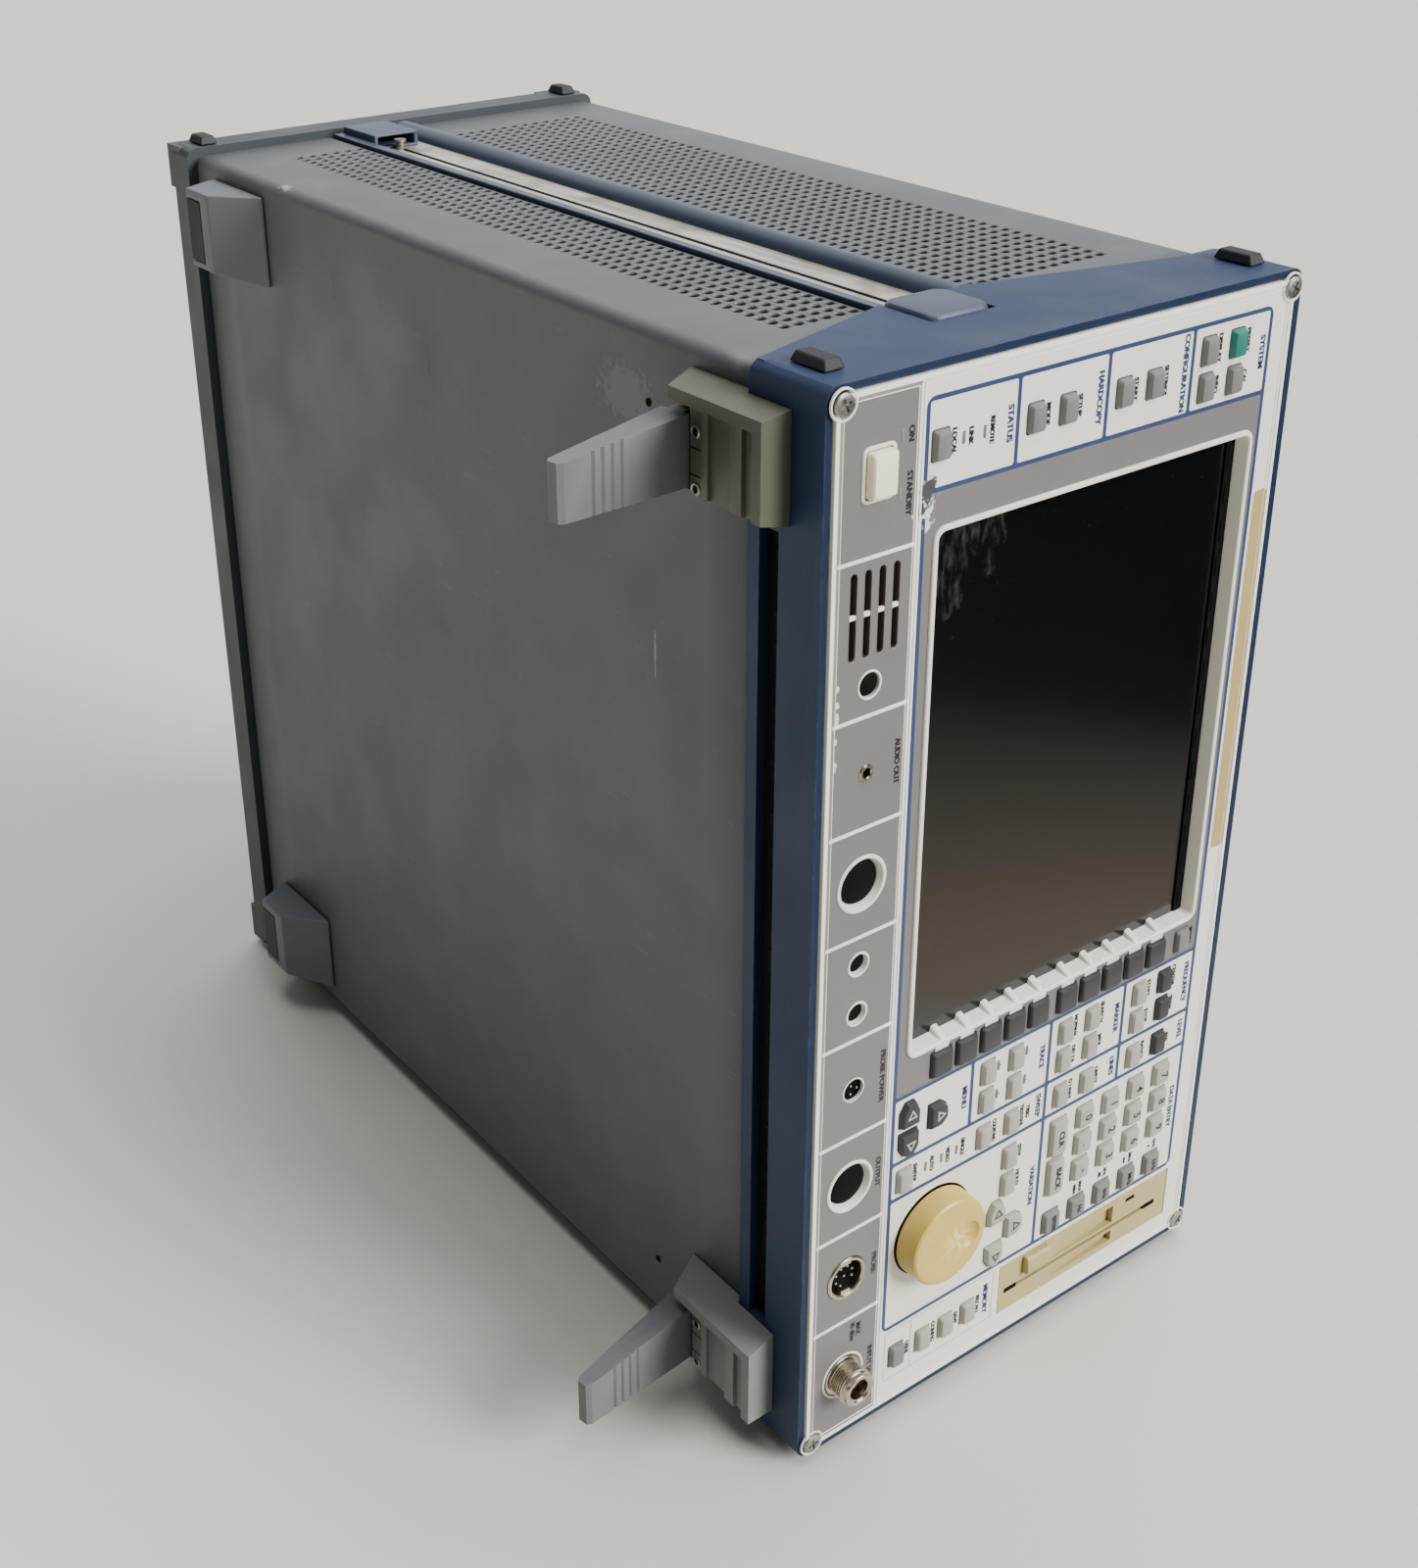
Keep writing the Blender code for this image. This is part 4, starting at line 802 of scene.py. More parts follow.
HEADINGS = (
    ("SYSTEM", 27.0, 201.3, 14.0), ("CONFIGURATION", 27.0, 160.6, 27.5),
    ("HARDCOPY", 27.0, 118.8, 18.5), ("STATUS", 27.0, 77.2, 13.5),
    ("FREQUENCY", 291.4, 201.0, 19.0), ("LEVEL", 314.6, 201.0, 10.0),
    ("DATA ENTRY", 354.0, 201.0, 21.0), ("MARKER", 291.4, 160.2, 14.0),
    ("LINES", 314.6, 160.2, 10.0), ("TRACE", 291.4, 118.4, 11.0),
    ("SWEEP", 314.6, 118.4, 11.5), ("MENU", 291.4, 77.0, 10.5),
    ("VARIATION", 354.0, 118.4, 22.0), ("MEMORY", 400.0, 96.6, 15.0),
)
CAPTIONS = {
    "preset_key": ("PRESET",),
    "setup_keys": ("CAL", "DISPLAY", "INFO", "MODE", "SETUP", "START", "SETTINGS", "LOCAL"),
    "frequency_level_keys": ("CENTER", "SPAN", "REF", "START", "STOP", "RANGE"),
    "marker_lines_keys": ("NORMAL", "SEARCH", "DELTA", "MKR", "D LINES", "LIMITS"),
    "trace_sweep_keys": ("1", "2", "3", "4", "COUPLING", "TRIGGER"),
    "step_keys": ("STEP", "HOLD"),
    "memory_keys": ("CONFIG", "SAVE", "RECALL", "USER"),
}


def legends():
    """Headings, key captions and socket names."""
    bm = bmesh.new()
    for word, across, up, longest in HEADINGS:
        lettering(bm, word, across, up, 2.5, longest)
    place(bm, "headings", "heading_print")

    bm = bmesh.new()
    for body, words in CAPTIONS.items():
        keys = [key for _, group in KEYS[body] for key in group if key[:2] not in ARROWS]
        for word, (across, up, _, height) in zip(words, keys):
            lettering(bm, word, across, up + height / 2 + 2.2, 1.9, 10.5)
    for word, across, up, longest in (
            ("REMOTE", 27.3, 69.2, 9.0), ("LINK", 27.3, 59.9, 9.0), ("TRIG", 314.6, 112.8, 9.0),
            ("SINGLE", 314.6, 77.8, 8.0), ("VIDEO", 314.6, 70.0, 7.0),
            ("AUTO", 314.6, 61.9, 7.0), ("SWEEP", 314.6, 53.2, 8.5),
            ("MENU", 268.8, 200.7, 8.0)):
        lettering(bm, word, across, up, 1.9, longest)
    for row, words in enumerate((("MAX", "MIN"), ("kHz", "dB"), ("MHz", "ms"), ("GHz", "s"))):
        for line, word in enumerate(words):
            lettering(bm, word, 369.4, DIGIT_ROWS[row] + 2.0 - 3.2 * line, 1.7, 5.5)
    for word, across, up, longest in (
            ("ON", 21.0, 34.2, 5.0), ("STANDBY", 40.5, 34.2, 15.0),
            ("AUDIO OUT", AUDIO_JACK, 34.2, 17.0), ("PROBE POWER", POWER_SOCKET, 34.2, 25.0),
            ("OUTPUT", 304.6, 34.2, 16.0), ("PROBE", PROBE_SOCKET, 34.2, 12.5),
            ("INPUT 50", RF_SOCKET, 34.2, 18.0), ("MAX", 375.8, 27.8, 6.0),
            ("30 dBm", 375.8, 24.8, 9.0)):
        lettering(bm, word, across, up, 2.3, longest)
    place(bm, "captions", "label_print")

    for body, words, tall in (
            ("digit_keys", (("CLR", 335.6, 131.3, 8.0), ("BACK", 355.2, 131.3, 11.0)), 2.8),
            ("unit_keys", tuple(zip(("ENTER", "Hz", "kHz", "MHz", "GHz"), (378.1,) * 5,
                                    (131.3, *DIGIT_ROWS), (7.4,) * 5)), 2.2)):
        bm = bmesh.new()
        for word, across, up, longest in words:
            lettering(bm, word, across + 0.4, up + 0.4, tall, longest, KEY_OUT)
        place(bm, body + "_words", "label_print", body)


def plugs_and_sockets():
    """Blanking plugs and small sockets along the strip, with their raised rings."""
    rings, black, shells, inserts = (bmesh.new() for _ in range(4))

    def turn(bm, places, segments, *profile):
        for across in places:
            turned(bm, profile, across, STRIP_MIDDLE, segments)

    turn(rings, BIG_PLUGS, 48, (9.7, -0.4), (11.0, -0.3), (10.9, 0.35), (10.3, 0.6), (9.6, 0.45),
         (8.4, -2.3), (9.4, -2.3), (9.7, -0.4))
    turn(black, BIG_PLUGS, 48, (8.35, -3.4), (8.3, -1.9), (8.0, -1.5), (5.0, -0.8), (2.5, -0.6),
         (0.3, -0.55))
    turn(rings, SMALL_PLUGS, 32, (4.1, -0.4), (5.0, -0.3), (4.9, 0.3), (4.5, 0.45), (4.1, 0.3),
         (3.6, -1.6), (3.95, -1.7), (4.1, -0.4))
    turn(black, SMALL_PLUGS, 32, (3.55, -2.4), (3.55, -1.5), (3.2, -1.2), (0.2, -1.1))
    turn(rings, [SPEAKER_PLUG], 32, (4.4, -0.4), (5.3, -0.3), (5.2, 0.3), (4.8, 0.45),
         (4.4, 0.2), (4.4, -0.4))
    turn(black, [SPEAKER_PLUG], 32, (4.25, -2.4), (4.25, -0.9), (3.6, -0.3), (2.0, 0.1),
         (0.2, 0.2))
    turn(rings, [POWER_SOCKET], 32, (4.5, -0.4), (5.1, -0.3), (5.0, 0.15), (4.5, 0.2), (4.5, -0.4))
    turn(black, [POWER_SOCKET], 32, (4.35, -3.4), (4.35, -1.0), (4.1, -0.8), (3.6, -1.8),
         (0.2, -1.9))
    turn(rings, [RF_SOCKET], 48, (9.2, -0.4), (10.3, -0.3), (10.2, 0.3), (9.7, 0.45), (9.2, 0.2),
         (9.2, -0.4))
    place(rings, "socket_rings", "cream_panel")
    place(black, "blanking_plugs", "black_plastic")

    for dx, dy in ((-1.7, -0.9), (1.7, -0.9), (0.0, 1.9)):
        turned(shells, [(0.45, -2.2), (0.45, -0.4), (0.2, -0.2)], POWER_SOCKET + dx,
               STRIP_MIDDLE + dy, 10)
    turn(shells, [AUDIO_JACK], 32, (2.3, -1.8), (3.1, -0.6), (3.1, 0.3), (2.8, 0.7), (2.0, 0.7),
         (1.75, 0.3), (1.75, -1.8), (2.3, -1.8))
    turn(shells, [PROBE_SOCKET], 48, (8.6, -2.4), (9.2, -0.6), (9.2, 0.4), (8.8, 0.8),
         (7.9, 0.8), (7.4, 0.2), (7.3, -3.2), (8.6, -3.2), (8.6, -2.4))
    for index in range(8):
        angle = math.tau * (index + 0.5) / 8
        radius = 4.2 if index else 0.0
        turned(shells, [(0.55, -3.2), (0.55, -1.2), (0.3, -0.9)],
               PROBE_SOCKET + radius * math.cos(angle),
               STRIP_MIDDLE + radius * math.sin(angle), 10)
    for offset in (-6.9, 6.9):
        block(shells, (PROBE_SOCKET + offset - 1.1, STRIP_MIDDLE - 2.2, -3.2),
              (PROBE_SOCKET + offset + 1.1, STRIP_MIDDLE + 2.2, 0.1), 0.2)
    place(shells, "socket_shells", "nickel", replaces=("probe_socket",))
    turn(inserts, [PROBE_SOCKET], 48, (7.3, -4.4), (7.3, -3.0), (0.2, -3.0))
    turn(inserts, [AUDIO_JACK], 24, (1.7, -3.0), (1.7, -1.4), (0.2, -1.4))
    place(inserts, "socket_inserts", "near_black_and_painted_shade")


def rf_input():
    """Threaded coaxial connector: flange, thread, plain sleeve, bore and centre contact."""
    profile = [(6.0, -8.0), (8.6, -4.0), (8.6, 0.3), (8.2, 0.6), (7.0, 0.7), (7.0, 1.2)]
    for index in range(7):
        out = 1.4 + index * 0.95
        profile += [(7.55, out), (7.55, out + 0.25), (6.9, out + 0.5), (6.9, out + 0.7)]
    profile += [(6.4, 8.2), (6.4, 8.7), (6.9, 8.9), (6.9, 10.0), (6.6, 10.3), (5.3, 10.3),
                (4.9, 9.9), (4.3, 9.6), (4.2, 1.6), (0.3, 1.6)]
    bm = bmesh.new()
    turned(bm, profile, RF_SOCKET, STRIP_MIDDLE, 64)
    turned(bm, [(1.5, 1.5), (1.5, 6.8), (1.2, 7.1), (0.7, 7.1), (0.5, 6.6), (0.1, 6.6)], RF_SOCKET,
           STRIP_MIDDLE, 20)
    place(bm, "rf_input", "nickel", replaces=("rf_connector",))


def corner_screws():
    """Cross-recessed screws in raised rings at the panel's corners."""
    heads, bosses = bmesh.new(), bmesh.new()
    for across, up in SCREWS:
        turned(bosses, [(4.5, -0.4), (5.5, -0.3), (5.4, 0.35), (5.1, 0.48), (4.8, 0.4),
                        (4.5, -0.1), (4.5, -0.4)], across, up, 32)
        turned(heads, [(3.9, -0.2), (3.95, 0.5), (3.75, 0.9), (3.2, 1.15), (2.2, 1.25),
                       (0.2, 1.28)], across, up, 32)
    place(bosses, "screw_bosses", "cream_panel")
    screws = place(heads, "corner_screws", "steel")
    cutter_bm = bmesh.new()
    for index, (across, up) in enumerate(SCREWS):
        turn = Matrix.Rotation(math.radians(25 + 37 * index), 4, "Z")
        for length, width in ((2.3, 0.45), (0.45, 2.3)):
            arm = bmesh.new()
            block(arm, (-length, -width, 0.45), (length, width, 3.0))
            arm.transform(Matrix.Translation((across, up, 0)) @ turn)
            mesh = to_mesh(arm, "arm")
            cutter_bm.from_mesh(mesh)
            bpy.data.meshes.remove(mesh)
    carve(screws, to_mesh(cutter_bm, "recess"), PANEL, self_crossing=True)


def carve(obj, mesh, matrix, self_crossing=False):
    """Cuts a mesh, given in one frame's millimetres, out of an object for good."""
    mesh.transform(matrix)
    cutter = link("cutter", mesh)
    modifier = obj.modifiers.new("cut", "BOOLEAN")
    modifier.operation = "DIFFERENCE"
    modifier.solver = "EXACT"
    modifier.use_self = self_crossing
    modifier.object = cutter
    bpy.context.view_layer.update()
    evaluated = obj.evaluated_get(bpy.context.evaluated_depsgraph_get())
    made = bpy.data.meshes.new_from_object(evaluated)
    obj.modifiers.remove(modifier)
    obj.data = made
    made.set_sharp_from_angle(angle=BEVEL_ANGLE)
    bpy.data.objects.remove(cutter)


def knob():
    """Tuning knob with a finger dimple, over a ring of painted shadow on the panel."""
    across, up, radius, out = KNOB
    bm = bmesh.new()
    turned(bm, [(3.4, 7.0), (3.4, 0.35), (radius - 0.5, 0.35), (radius, 0.7),
                (radius - 0.2, out - 1.9), (radius - 0.5, out - 0.8), (radius - 1.2, out - 0.2),
                (radius - 2.2, out - 0.02), (radius - 4.0, out), (0.3, out - 0.05)],
           across, up, 96)
    made = place(bm, "tuning_knob_finished", "aged_cream", "knob", ("tuning_knob",))
    dimple = bmesh.new()
    bmesh.ops.create_uvsphere(dimple, u_segments=48, v_segments=24, radius=8.2,
                              matrix=Matrix.Translation((across + 0.6, up + 9.0, out + 5.6)))
    carve(made, to_mesh(dimple, "dimple"), PANEL)
    # Painted shadow: a thin black disc round the knob's foot.
    bm = bmesh.new()
    turned(bm, [(3.8, 0.0), (19.7, 0.0), (19.7, 0.12), (3.8, 0.12), (3.8, 0.0)], across, up, 64)
    place(bm, "knob_shadow_ring", "black_plastic")


def power_button():
    """The button and the raised rim round it."""
    across, up, width, height = POWER_BUTTON
    bm = bmesh.new()
    loft(bm, [ring_loop(across, up, width - 2 * d, height - 2 * d, 1.1, out)
              for d, out in ((0, -4.0), (0, 2.4), (0.25, 3.3), (0.8, 3.85), (1.8, 4.0))])
    place(bm, "power_button_finished", "ivory_button", "power_button", ("power_button",))
    width, height = width + 1.0, height + 0.9
    bm = bmesh.new()
    loft(bm, [ring_loop(across, up, width + 2 * d, height + 2 * d, 1.2 + d, out)
              for d, out in ((0, -0.3), (0, 0.45), (0.3, 0.6), (1.0, 0.6), (1.3, 0.3),
                             (1.3, -0.3))], closed=True)
    place(bm, "power_button_surround", "cream_panel")


def speaker_slots():
    """Dark walls and thin lips of the long slots, and the bar that bridges them."""
    lips, walls, bars = bmesh.new(), bmesh.new(), bmesh.new()
    middle, length, width, corner = SPEAKER_SLOT
    lip = ((0, -0.3), (0, 0.06), (0.12, 0.12), (0.3, 0.10), (0.4, -0.2))
    wall = ((-0.01, -0.2), (-0.01, -2.45), (-0.2, -2.45), (-0.2, -0.2))
    for up in SPEAKER_ROWS:
        for bm, sections in ((lips, lip), (walls, wall)):
            loft(bm, [ring_loop(middle, up, length + 2 * d, width + 2 * d, corner + d, out, 5)
                      for d, out in sections], closed=True)
        block(bars, (76.6, up - 1.45, -1.2), (78.2, up + 1.45, -0.05), 0.15)
    place(lips, "speaker_slot_lips", "mauve_print")
    place(walls, "speaker_slot_walls", "slot_brown")
    place(bars, "speaker_slot_bars", "ridge_paint")


def floppy_drive():
    """Drive face with a disk slot, two finger scoops, a lamp and its eject button."""
    a0, a1, b0, b1 = DRIVE
    holes = [rounded(401.8, 403.6, 108, 198, 0.4), rounded(391.8, 400.6, 135.4, 171.6, 0.4),
             rounded(404.8, 410.0, 135.4, 171.6, 0.4), rounded(389.8, 398.4, 117.6, 131.4, 0.4),
             rounded(392.2, 394.3, 179.2, 184.8, 0.3)]
    face = rounded(a0 + 0.5, a1 - 0.5, b0 + 0.5, b1 - 0.5, 0.5)
    add_piece("drive_face", sheet("drive_face", [face] + holes, -2.6, -0.15), "floppy_beige",
              replaces=("floppy_drive",))
    bm = bmesh.new()
    for left, right in ((391.0, 401.4), (404.2, 410.6)):
        scoop = [(left, 134.6), (right, 134.6), (right, 172.4), (left, 172.4)]
        loops = [[(x, y, -4.4) for x, y in scoop],
                 [(x, y, -0.9 if y < 150 else -2.9) for x, y in scoop]]
        loft(bm, loops)
    block(bm, (a0 + 0.5, b0 + 0.5, -140), (a1 - 0.5, b1 - 0.5, -4.6))
    place(bm, "drive_body", "floppy_beige")
    # Painted shade: dark blocks fill the disk slot and a dark frame round the drive face stands
    # for the gap; the block behind the small hole is the unlit lamp.
    bm = bmesh.new()
    block(bm, (401.0, 106, -4.4), (404.0, 200, -1.9))
    block(bm, (392.0, 178.8, -2.4), (394.5, 185.2, -0.5))
    for up in (107.6, 191.0):
        block(bm, (401.4, up, -1.6), (404.0, up + 7.4, -0.08), 0.3)
    for low, high in (((a0 - 0.2, b0 - 0.2, -1.1), (a0 + 1.0, b1 + 0.2, -0.7)),
                      ((a1 - 1.0, b0 - 0.2, -1.1), (a1 + 0.2, b1 + 0.2, -0.7)),
                      ((a0 - 0.2, b0 - 0.2, -1.1), (a1 + 0.2, b0 + 1.0, -0.7)),
                      ((a0 - 0.2, b1 - 1.0, -1.1), (a1 + 0.2, b1 + 0.2, -0.7))):
        block(bm, low, high)
    place(bm, "drive_shade_and_lamp", "near_black_and_painted_shade")
    bm = bmesh.new()
    profile = [(389.9, -1.3), (389.9, 1.9), (391.0, 2.7), (396.6, 3.0), (398.2, 2.3),
               (398.2, -1.3)]
    loft(bm, [[(x, up, z) for x, z in profile] for up in (118.0, 131.0)])
    button = place(bm, "eject_button_finished", "floppy_beige", "eject_button", ("eject_button",))
    round_edges(button, 0.35, 2)


# ---- Case ----

def perforated_cover(name, node, sides, rows, closing):
    """A bent sheet with square-pitched round holes in both of its side walls.

    sides gives the sheet's edge and far limits in X, rows the first and last hole row.
    """
    pitch, columns, first_column = 6.0, 57, 64.0
    (_, y0, z0), (_, y1, z1) = box_mm(node)
    edge, wall = sides
    inward = 1 if wall > edge else -1
    bounds = [rows[0] - inward * pitch / 2 + inward * pitch * i
              for i in range(round(abs(rows[1] - rows[0]) / pitch) + 2)]
    radius = 5.0
    upper = [edge] + bounds + [wall - inward * radius]
    profile = [(x, z1) for x in upper]
    for step in range(1, 7):
        angle = math.pi / 2 * step / 6
        profile.append((wall - inward * radius * (1 - math.sin(angle)),
                        z1 - radius * (1 - math.cos(angle))))
    profile += [(x, z0 + (z1 - z)) for x, z in reversed(profile)]
    is_hole = [0 < i <= len(bounds) - 1 for i in range(len(upper))]
    cells = {i for i, hole in enumerate(is_hole) if hole}
    cells |= {len(profile) - 2 - i for i in cells}
    ys = [y0] + [first_column - pitch / 2 + pitch * j for j in range(columns + 1)] + [y1]
    bm = bmesh.new()
    grid = [[bm.verts.new((x, y, z)) for y in ys] for x, z in profile]
    for i in range(len(profile) - 1):
        for j in range(len(ys) - 1):
            corners = (grid[i][j], grid[i + 1][j], grid[i + 1][j + 1], grid[i][j + 1])
            if i not in cells or not 0 < j <= columns:
                bm.faces.new(corners)
                continue
            middle = (corners[0].co + corners[2].co) / 2
            along = (corners[1].co - corners[0].co).normalized()
            over = (corners[3].co - corners[0].co).normalized()
            hole = []
            for k in range(12):
                angle = math.radians(-135 + 30 * k)
                hole.append(bm.verts.new(middle + 2.32 * (along * math.cos(angle)
                                                          + over * math.sin(angle))))
            for side in range(4):
                ring = [hole[(3 * side + k) % 12] for k in range(4)]
                bm.faces.new([corners[side], corners[(side + 1) % 4]] + ring[::-1])
    bmesh.ops.remove_doubles(bm, verts=bm.verts, dist=1e-4)
    cover = place(bm, name, "grey_paint", replaces=(node,), matrix=INSTRUMENT)
    solid = cover.modifiers.new("sheet", "SOLIDIFY")
    solid.thickness = 1.5 * MM
    solid.offset = closing


def channel_floors():
    """Bare floor in two strips with a dark strip of painted shadow between them, and the strap's
    pin.
    """
    for side in ("left", "right"):
        (x0, y0, _), (_, y1, _) = box_mm(f"{side}_handle_channel")
        soften(f"{side}_handle_channel", "rail_paint", 0.5)
        floor = 425.5 if side == "left" else 9.5
        outward = 1 if side == "left" else -1
        bm, dark = bmesh.new(), bmesh.new()
        for start, end in ((4.5, 15.6), (18.2, 31.2)):
            faces = sorted((floor, floor + outward * 0.25))
            block(bm, (x0 + start, y0 + 0.5, faces[0]), (x0 + end, y1 - 0.5, faces[1]))
        # Painted shadow: the near-black strip between the bare strips stands for shade on the
        # channel floor.
        faces = sorted((floor, floor + outward * 0.08))
        block(dark, (x0 + 15.5, y0 + 0.5, faces[0]), (x0 + 18.3, y1 - 0.5, faces[1]))
        place(bm, f"{side}_channel_floor", "bare_aluminium", matrix=INSTRUMENT)
        place(dark, f"{side}_channel_painted_shadow", "near_black_and_painted_shade", matrix=INSTRUMENT)
        bm = bmesh.new()
        pin = Matrix.Translation((88.5, 399.0, floor + outward * 2.2))
        bmesh.ops.create_cone(bm, cap_ends=True, segments=20, radius1=1.9, radius2=1.9,
                              depth=4.4, matrix=pin)
        bmesh.ops.create_cone(bm, cap_ends=True, segments=20, radius1=2.8, radius2=2.8,
                              depth=1.0, matrix=pin @ Matrix.Translation((0, 0, outward * 2.0)))
        place(bm, f"{side}_strap_pin", "steel", matrix=INSTRUMENT)


def front_strap_caps():
    """Thick rounded plates over the channel's front ends."""
    for side in ("left", "right"):
        bm = bmesh.new()
        loops = []
        for inset, height in ((0, 428.8), (0, 430.6), (0.25, 431.5), (0.9, 432.2), (2.0, 432.5)):
            loop = ring_loop(86, 44, 28 - 2 * inset, 26 - 2 * inset, 5 - inset / 2, height, 5)
            loops.append([(x, y, z if side == "left" else 435 - z) for x, y, z in loop])
        loft(bm, loops)
        place(bm, f"{side}_front_strap_cap_finished", "cap_plastic",
              replaces=(f"{side}_front_strap_cap",), matrix=INSTRUMENT)


def bezel_slot():
    """A dark sheet of painted shade in the air slot, with ragged gasket stubs along its front
    edge.
    """
    bm = bmesh.new()
    # Painted shade: a near-black sheet fills the slot's inside.
    block(bm, (3.2, 20.95, 57.1), (3.8, 29.5, 377.9))
    height, step = 60.0, 0
    while height < 375:
        step += 1
        size = 1.2 + 1.1 * ((step * 7) % 5) / 4
        block(bm, (0.9, 20.95, height), (3.3, 20.95 + size, height + 2.0 + (step * 3) % 4), 0.2)
        height += 4.6 + (step * 5) % 7
    place(bm, "bezel_slot_shade_and_gasket", "near_black_and_painted_shade", matrix=INSTRUMENT)


def foot_details():
    """Hinge plates and their screws in the front feet, screw heads in the rear feet."""
    for side in ("left", "right"):
        z0, z1 = [corner.z for corner in box_mm(f"{side}_front_foot")]
        bm = bmesh.new()
        block(bm, (z0 + 2.9, 44.0, 8.9), (z1 - 4.5, 51.6, 11.0), 0.4)
        block(bm, (z0 + 4.4, 28.1, 8.8), (z1 - 4.5, 40.2, 11.6), 0.3)
        block(bm, (z0 + 4.6, 16.1, 8.8), (z1 - 4.5, 22.4, 12.2), 0.3)
        place(bm, f"{side}_hinge_plate", FOOT_LOOK[side], matrix=UNDERSIDE)
        rings, dark = bmesh.new(), bmesh.new()
        for height in (z0 + 25.2, z0 + 6.0):
            turned(rings, [(1.2, 10.6), (2.3, 10.8), (2.3, 11.4), (1.9, 11.7), (1.4, 11.5),
                           (1.2, 10.6)], height, 48.2, 24)
            # Painted shade: dark discs inside the screw rings and thin dark lines across the hinge
            # plates, where recesses and seams lie in shade.
            turned(dark, [(1.4, 10.6), (1.4, 11.25), (0.2, 11.2)], height, 48.2, 20)
        for height in (z0 + 19.4, z0 + 10.4):
            block(dark, (height - 0.25, 44.4, 10.9), (height + 0.25, 51.4, 11.06))
        place(rings, f"{side}_hinge_screws", "steel", matrix=UNDERSIDE)
        place(dark, f"{side}_hinge_recess_shade", "near_black_and_painted_shade", matrix=UNDERSIDE)
        low, high = box_mm(f"{side}_rear_foot")
        bm = bmesh.new()
        for height in (low.z + 15, high.z - 9):
            turned(bm, [(1.5, 14.6), (1.5, 14.85), (0.2, 14.9)], height, 389.6, 20)
        place(bm, f"{side}_rear_foot_screws", "near_black_and_painted_shade", matrix=UNDERSIDE)


def case_details():
    """Screw holes in the lower cover, drawn as flat dark discs of painted shade."""
    bm = bmesh.new()
    for z in (402.0, 36.0):
        bmesh.ops.create_cone(
            bm, cap_ends=True, segments=24, radius1=1.5, radius2=1.5, depth=0.4,
            matrix=Matrix.Translation((2.95, 92, z)) @ Matrix.Rotation(math.pi / 2, 4, "Y"))
    place(bm, "cover_screw_holes", "near_black_and_painted_shade", matrix=INSTRUMENT)


def paint_cad_nodes():
    """Every CAD node gets a finished material of its own slot, but the speaker gets cloth and the
    inner parts get near-black painted shade.
    """
    slots = {row["node"]: row["material_slot"] for row in frame["record"]["subparts"]}
    # Painted shade: the power supply, RF module and chassis tray are near-black so the case's
    # inside reads dark through the holes.
    looks = {"speaker": "speaker_cloth", "power_supply": "near_black_and_painted_shade",
             "rf_module": "near_black_and_painted_shade", "chassis_tray": "near_black_and_painted_shade"}
    for node, obj in frame["nodes"].items():
        obj.data.materials.clear()
        obj.data.materials.append(MATERIALS[looks.get(node, slots[node])])


# ---- Stage ----

def stage():
    """Floor, lights and a card that only reflections see, dark where it stands and painted with
    floor shade where it lies.
    """
    floor_shade = Shade("floor", roughness=0.55)
    floor_shade.set(Base_Color=(0.56, 0.545, 0.49, 1.0))
    mesh = bpy.data.meshes.new("floor")
    bm = bmesh.new()
    bmesh.ops.create_grid(bm, x_segments=1, y_segments=1, size=30)
    bm.to_mesh(mesh)
    bm.free()
    mesh.materials.append(floor_shade.material)
    floor = link("floor", mesh)

    shade = Shade("flag", roughness=0.9)
    foot, along = Vector((0.40, -0.66, 0.0)), Vector((0.653, 0.757, 0.0))
    toward = Vector((-0.757, 0.653, 0.0))
    height = shade.add("ShaderNodeSeparateXYZ", {0: shade.coords}).outputs["Z"]
    away = shade.vector("SUBTRACT", shade.coords, tuple(foot))
    reach = shade.vector("DOT_PRODUCT", away, tuple(toward), "Value")
    # Painted shade for reflections: the lying strip darkens from floor colour towards the card's
    # foot.
    painted_floor_shade = shade.mix(shade.remap(reach, 0.0, 0.30), srgb(74, 68, 60), srgb(206, 190, 166))
    shade.set(Base_Color=shade.mix(shade.remap(height, 0.0, 0.06), painted_floor_shade, srgb(3, 6, 10)))
    mesh = bpy.data.meshes.new("flag")
    low = Vector((0, 0, 0.001))
    left, right = foot - along * 0.9 + low, foot + along * 0.9 + low
    mesh.from_pydata([left, right, right + Vector((0, 0, 1.2)), left + Vector((0, 0, 1.2)),
                      left + toward * 0.34, right + toward * 0.34], [],
                     [(0, 1, 2, 3), (4, 5, 1, 0)])
    mesh.materials.append(shade.material)
    flag = link("flag", mesh)
    flag.visible_camera = flag.visible_diffuse = flag.visible_shadow = False
    flag.visible_transmission = flag.visible_volume_scatter = False

    world = bpy.data.worlds.new("studio")
    world.use_nodes = True
    background = world.node_tree.nodes["Background"]
    background.inputs["Color"].default_value = (1.0, 1.0, 1.0, 1.0)
    background.inputs["Strength"].default_value = 0.14
    bpy.context.scene.world = world

    for name, toward, strength, spread, colour in (
            ("front_sun", (0.42, -0.78, 0.47), 5.8, 30, (1.0, 0.99, 0.97)),
            ("top_sun", (0.20, -0.05, 0.98), 3.1, 56, (1.0, 1.0, 1.0)),
            ("rear_sun", (0.35, 0.85, 0.40), 1.3, 80, (0.98, 0.99, 1.0))):
        light = bpy.data.lights.new(name, "SUN")
        light.energy = strength
        light.angle = math.radians(spread)
        light.color = colour
        lamp = link(name, light)
        lamp.location = Vector(toward) * 3
        lamp.rotation_euler = Vector(toward).to_track_quat("Z", "Y").to_euler()


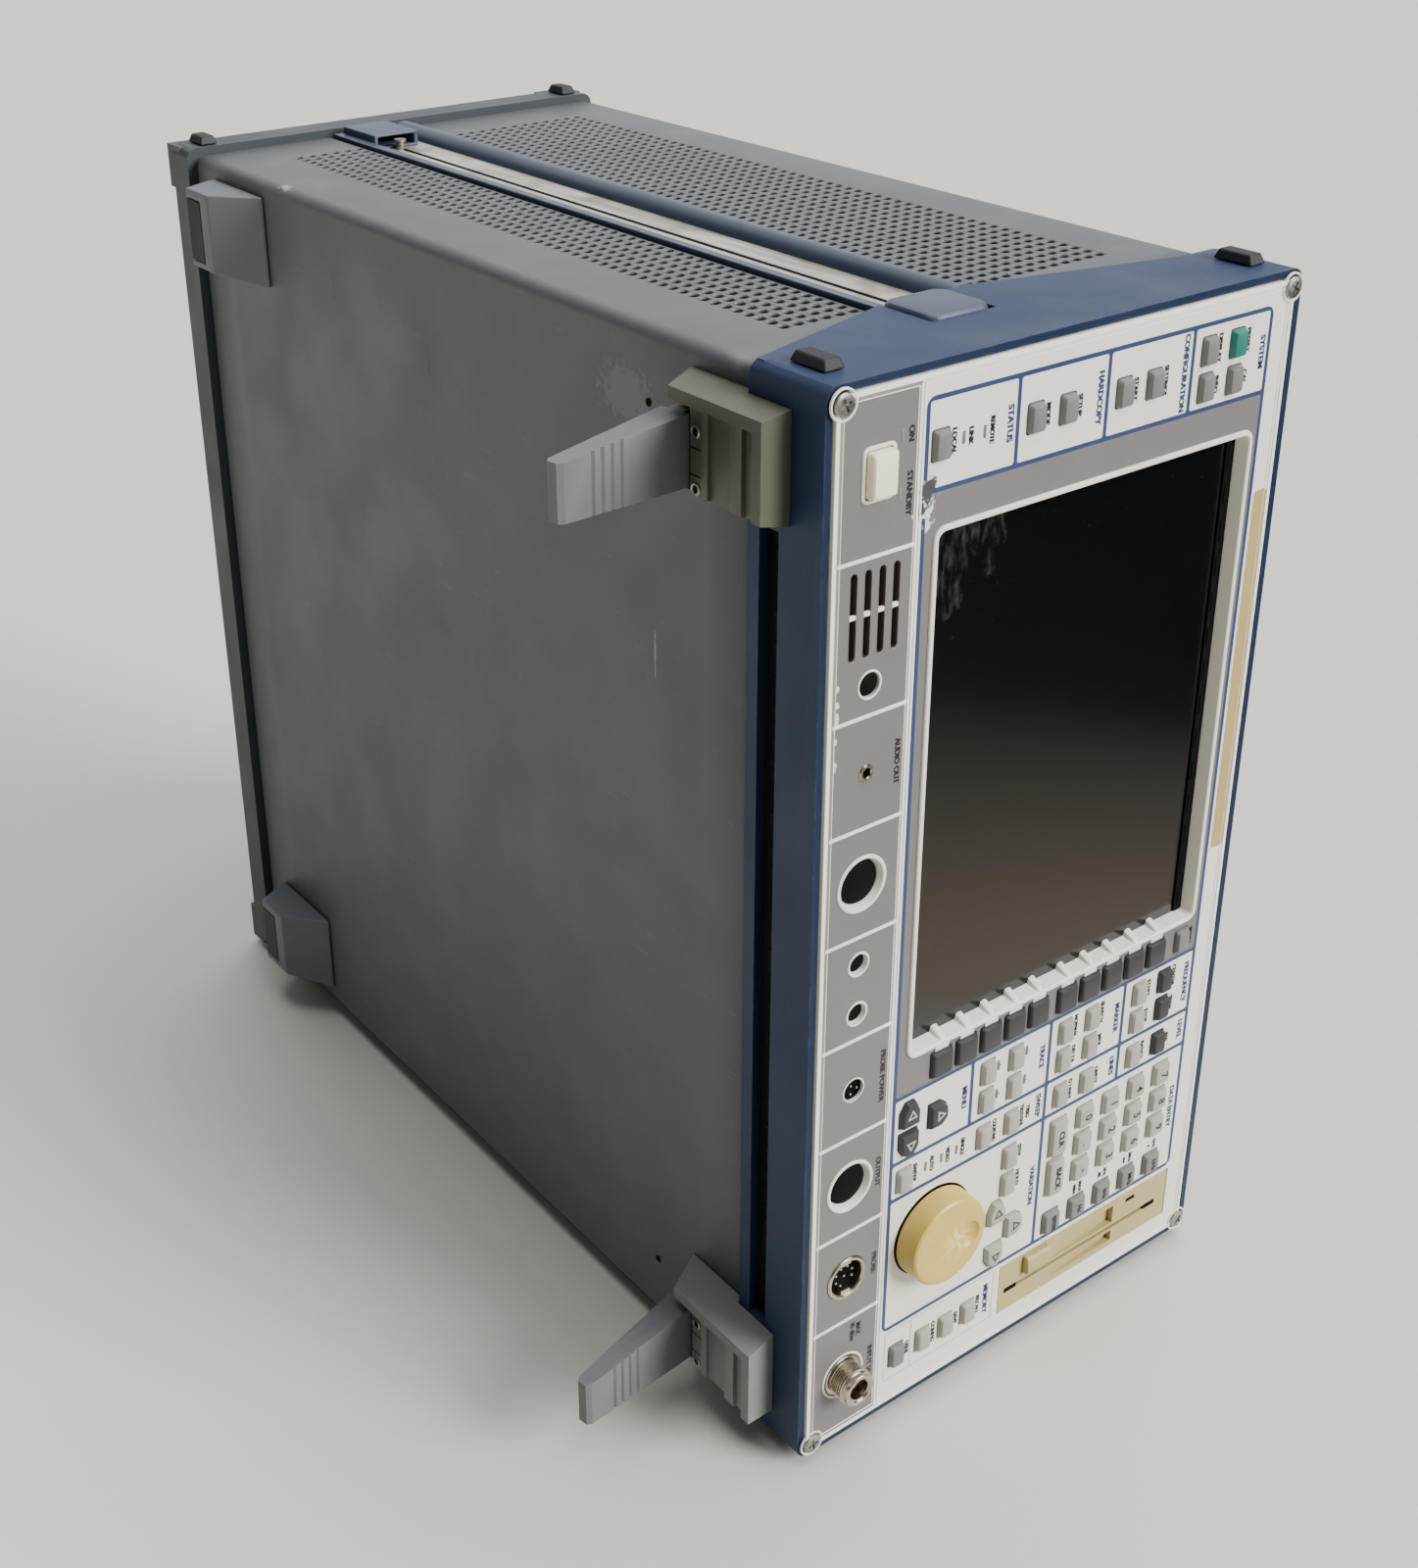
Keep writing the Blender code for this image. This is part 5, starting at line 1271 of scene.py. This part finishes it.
def camera():
    """The viewpoint: low three-quarter view from the instrument's underside and front."""
    azimuth, elevation, roll = (math.radians(v) for v in (-36.484, 25.295, -0.553))
    back = Vector((math.sin(azimuth) * math.cos(elevation),
                   -math.cos(azimuth) * math.cos(elevation), math.sin(elevation)))
    right = Vector((math.cos(azimuth), math.sin(azimuth), 0))
    up = back.cross(right)
    rolled_right = right * math.cos(roll) + up * math.sin(roll)
    rolled_up = up * math.cos(roll) - right * math.sin(roll)
    place = INSTRUMENT @ Vector((-380.5, -431.0, 617.7))
    data = bpy.data.cameras.new("camera")
    data.lens = 46.93
    data.sensor_width = 36.0
    data.shift_x, data.shift_y = 0.0318, -0.0859
    data.clip_start, data.clip_end = 0.01, 100
    obj = link("camera", data)
    axes = Matrix((rolled_right, rolled_up, back)).transposed()
    obj.matrix_world = Matrix.Translation(place) @ axes.to_4x4()
    bpy.context.scene.camera = obj


stage()
camera()
paint_cad_nodes()
PANEL_HOLES = panel_holes()
fascia()
outlines()
connector_strip()
display_frame()
lamps()
build_keys()
arrow_prints()
digit_prints()
legends()
plugs_and_sockets()
rf_input()
corner_screws()
knob()
power_button()
speaker_slots()
floppy_drive()
soften("front_bezel", "blue_paint", 1.2, 3)
soften("rear_frame", "frame_paint", 1.0, 2)
perforated_cover("lower_cover_finished", "lower_cover", (70.0, 3.0), (67.0, 37.0), -1)
perforated_cover("upper_cover_finished", "upper_cover", (115.8, 218.0), (120.4, 186.4), -1)
channel_floors()
front_strap_caps()
bezel_slot()
foot_details()
case_details()
for side in ("left", "right"):
    soften(f"{side}_rear_strap_cap", "cap_plastic", 1.0, 3)
    for end in ("front", "rear"):
        for level in ("lower", "upper"):
            soften(f"{side}_{end}_{level}_bumper", "black_rubber", 0.7, 3)
    foot = box_mm(f"{side}_front_foot")[0].z
    soften(f"{side}_front_foot", FOOT_LOOK[side], 0.8, 3, cuts=(
        ((foot - 5, 22.0, 13.6), (foot + 34.3, 28.3, 20)),
        ((foot - 5, 39.8, 12.8), (foot + 34.3, 44.0, 20))))
    soften(f"{side}_flip_leg", "leg_plastic", 0.6, 2, f"{side}_leg")
    soften(f"{side}_rear_foot", "rear_foot_plastic", 0.6, 2)
    soften(f"{side}_foot_pad", "black_rubber", 0.4, 2)
soften("rear_panel", "grey_paint", 0.2, 1)
soften("mains_inlet", "black_plastic", 0.3, 1)
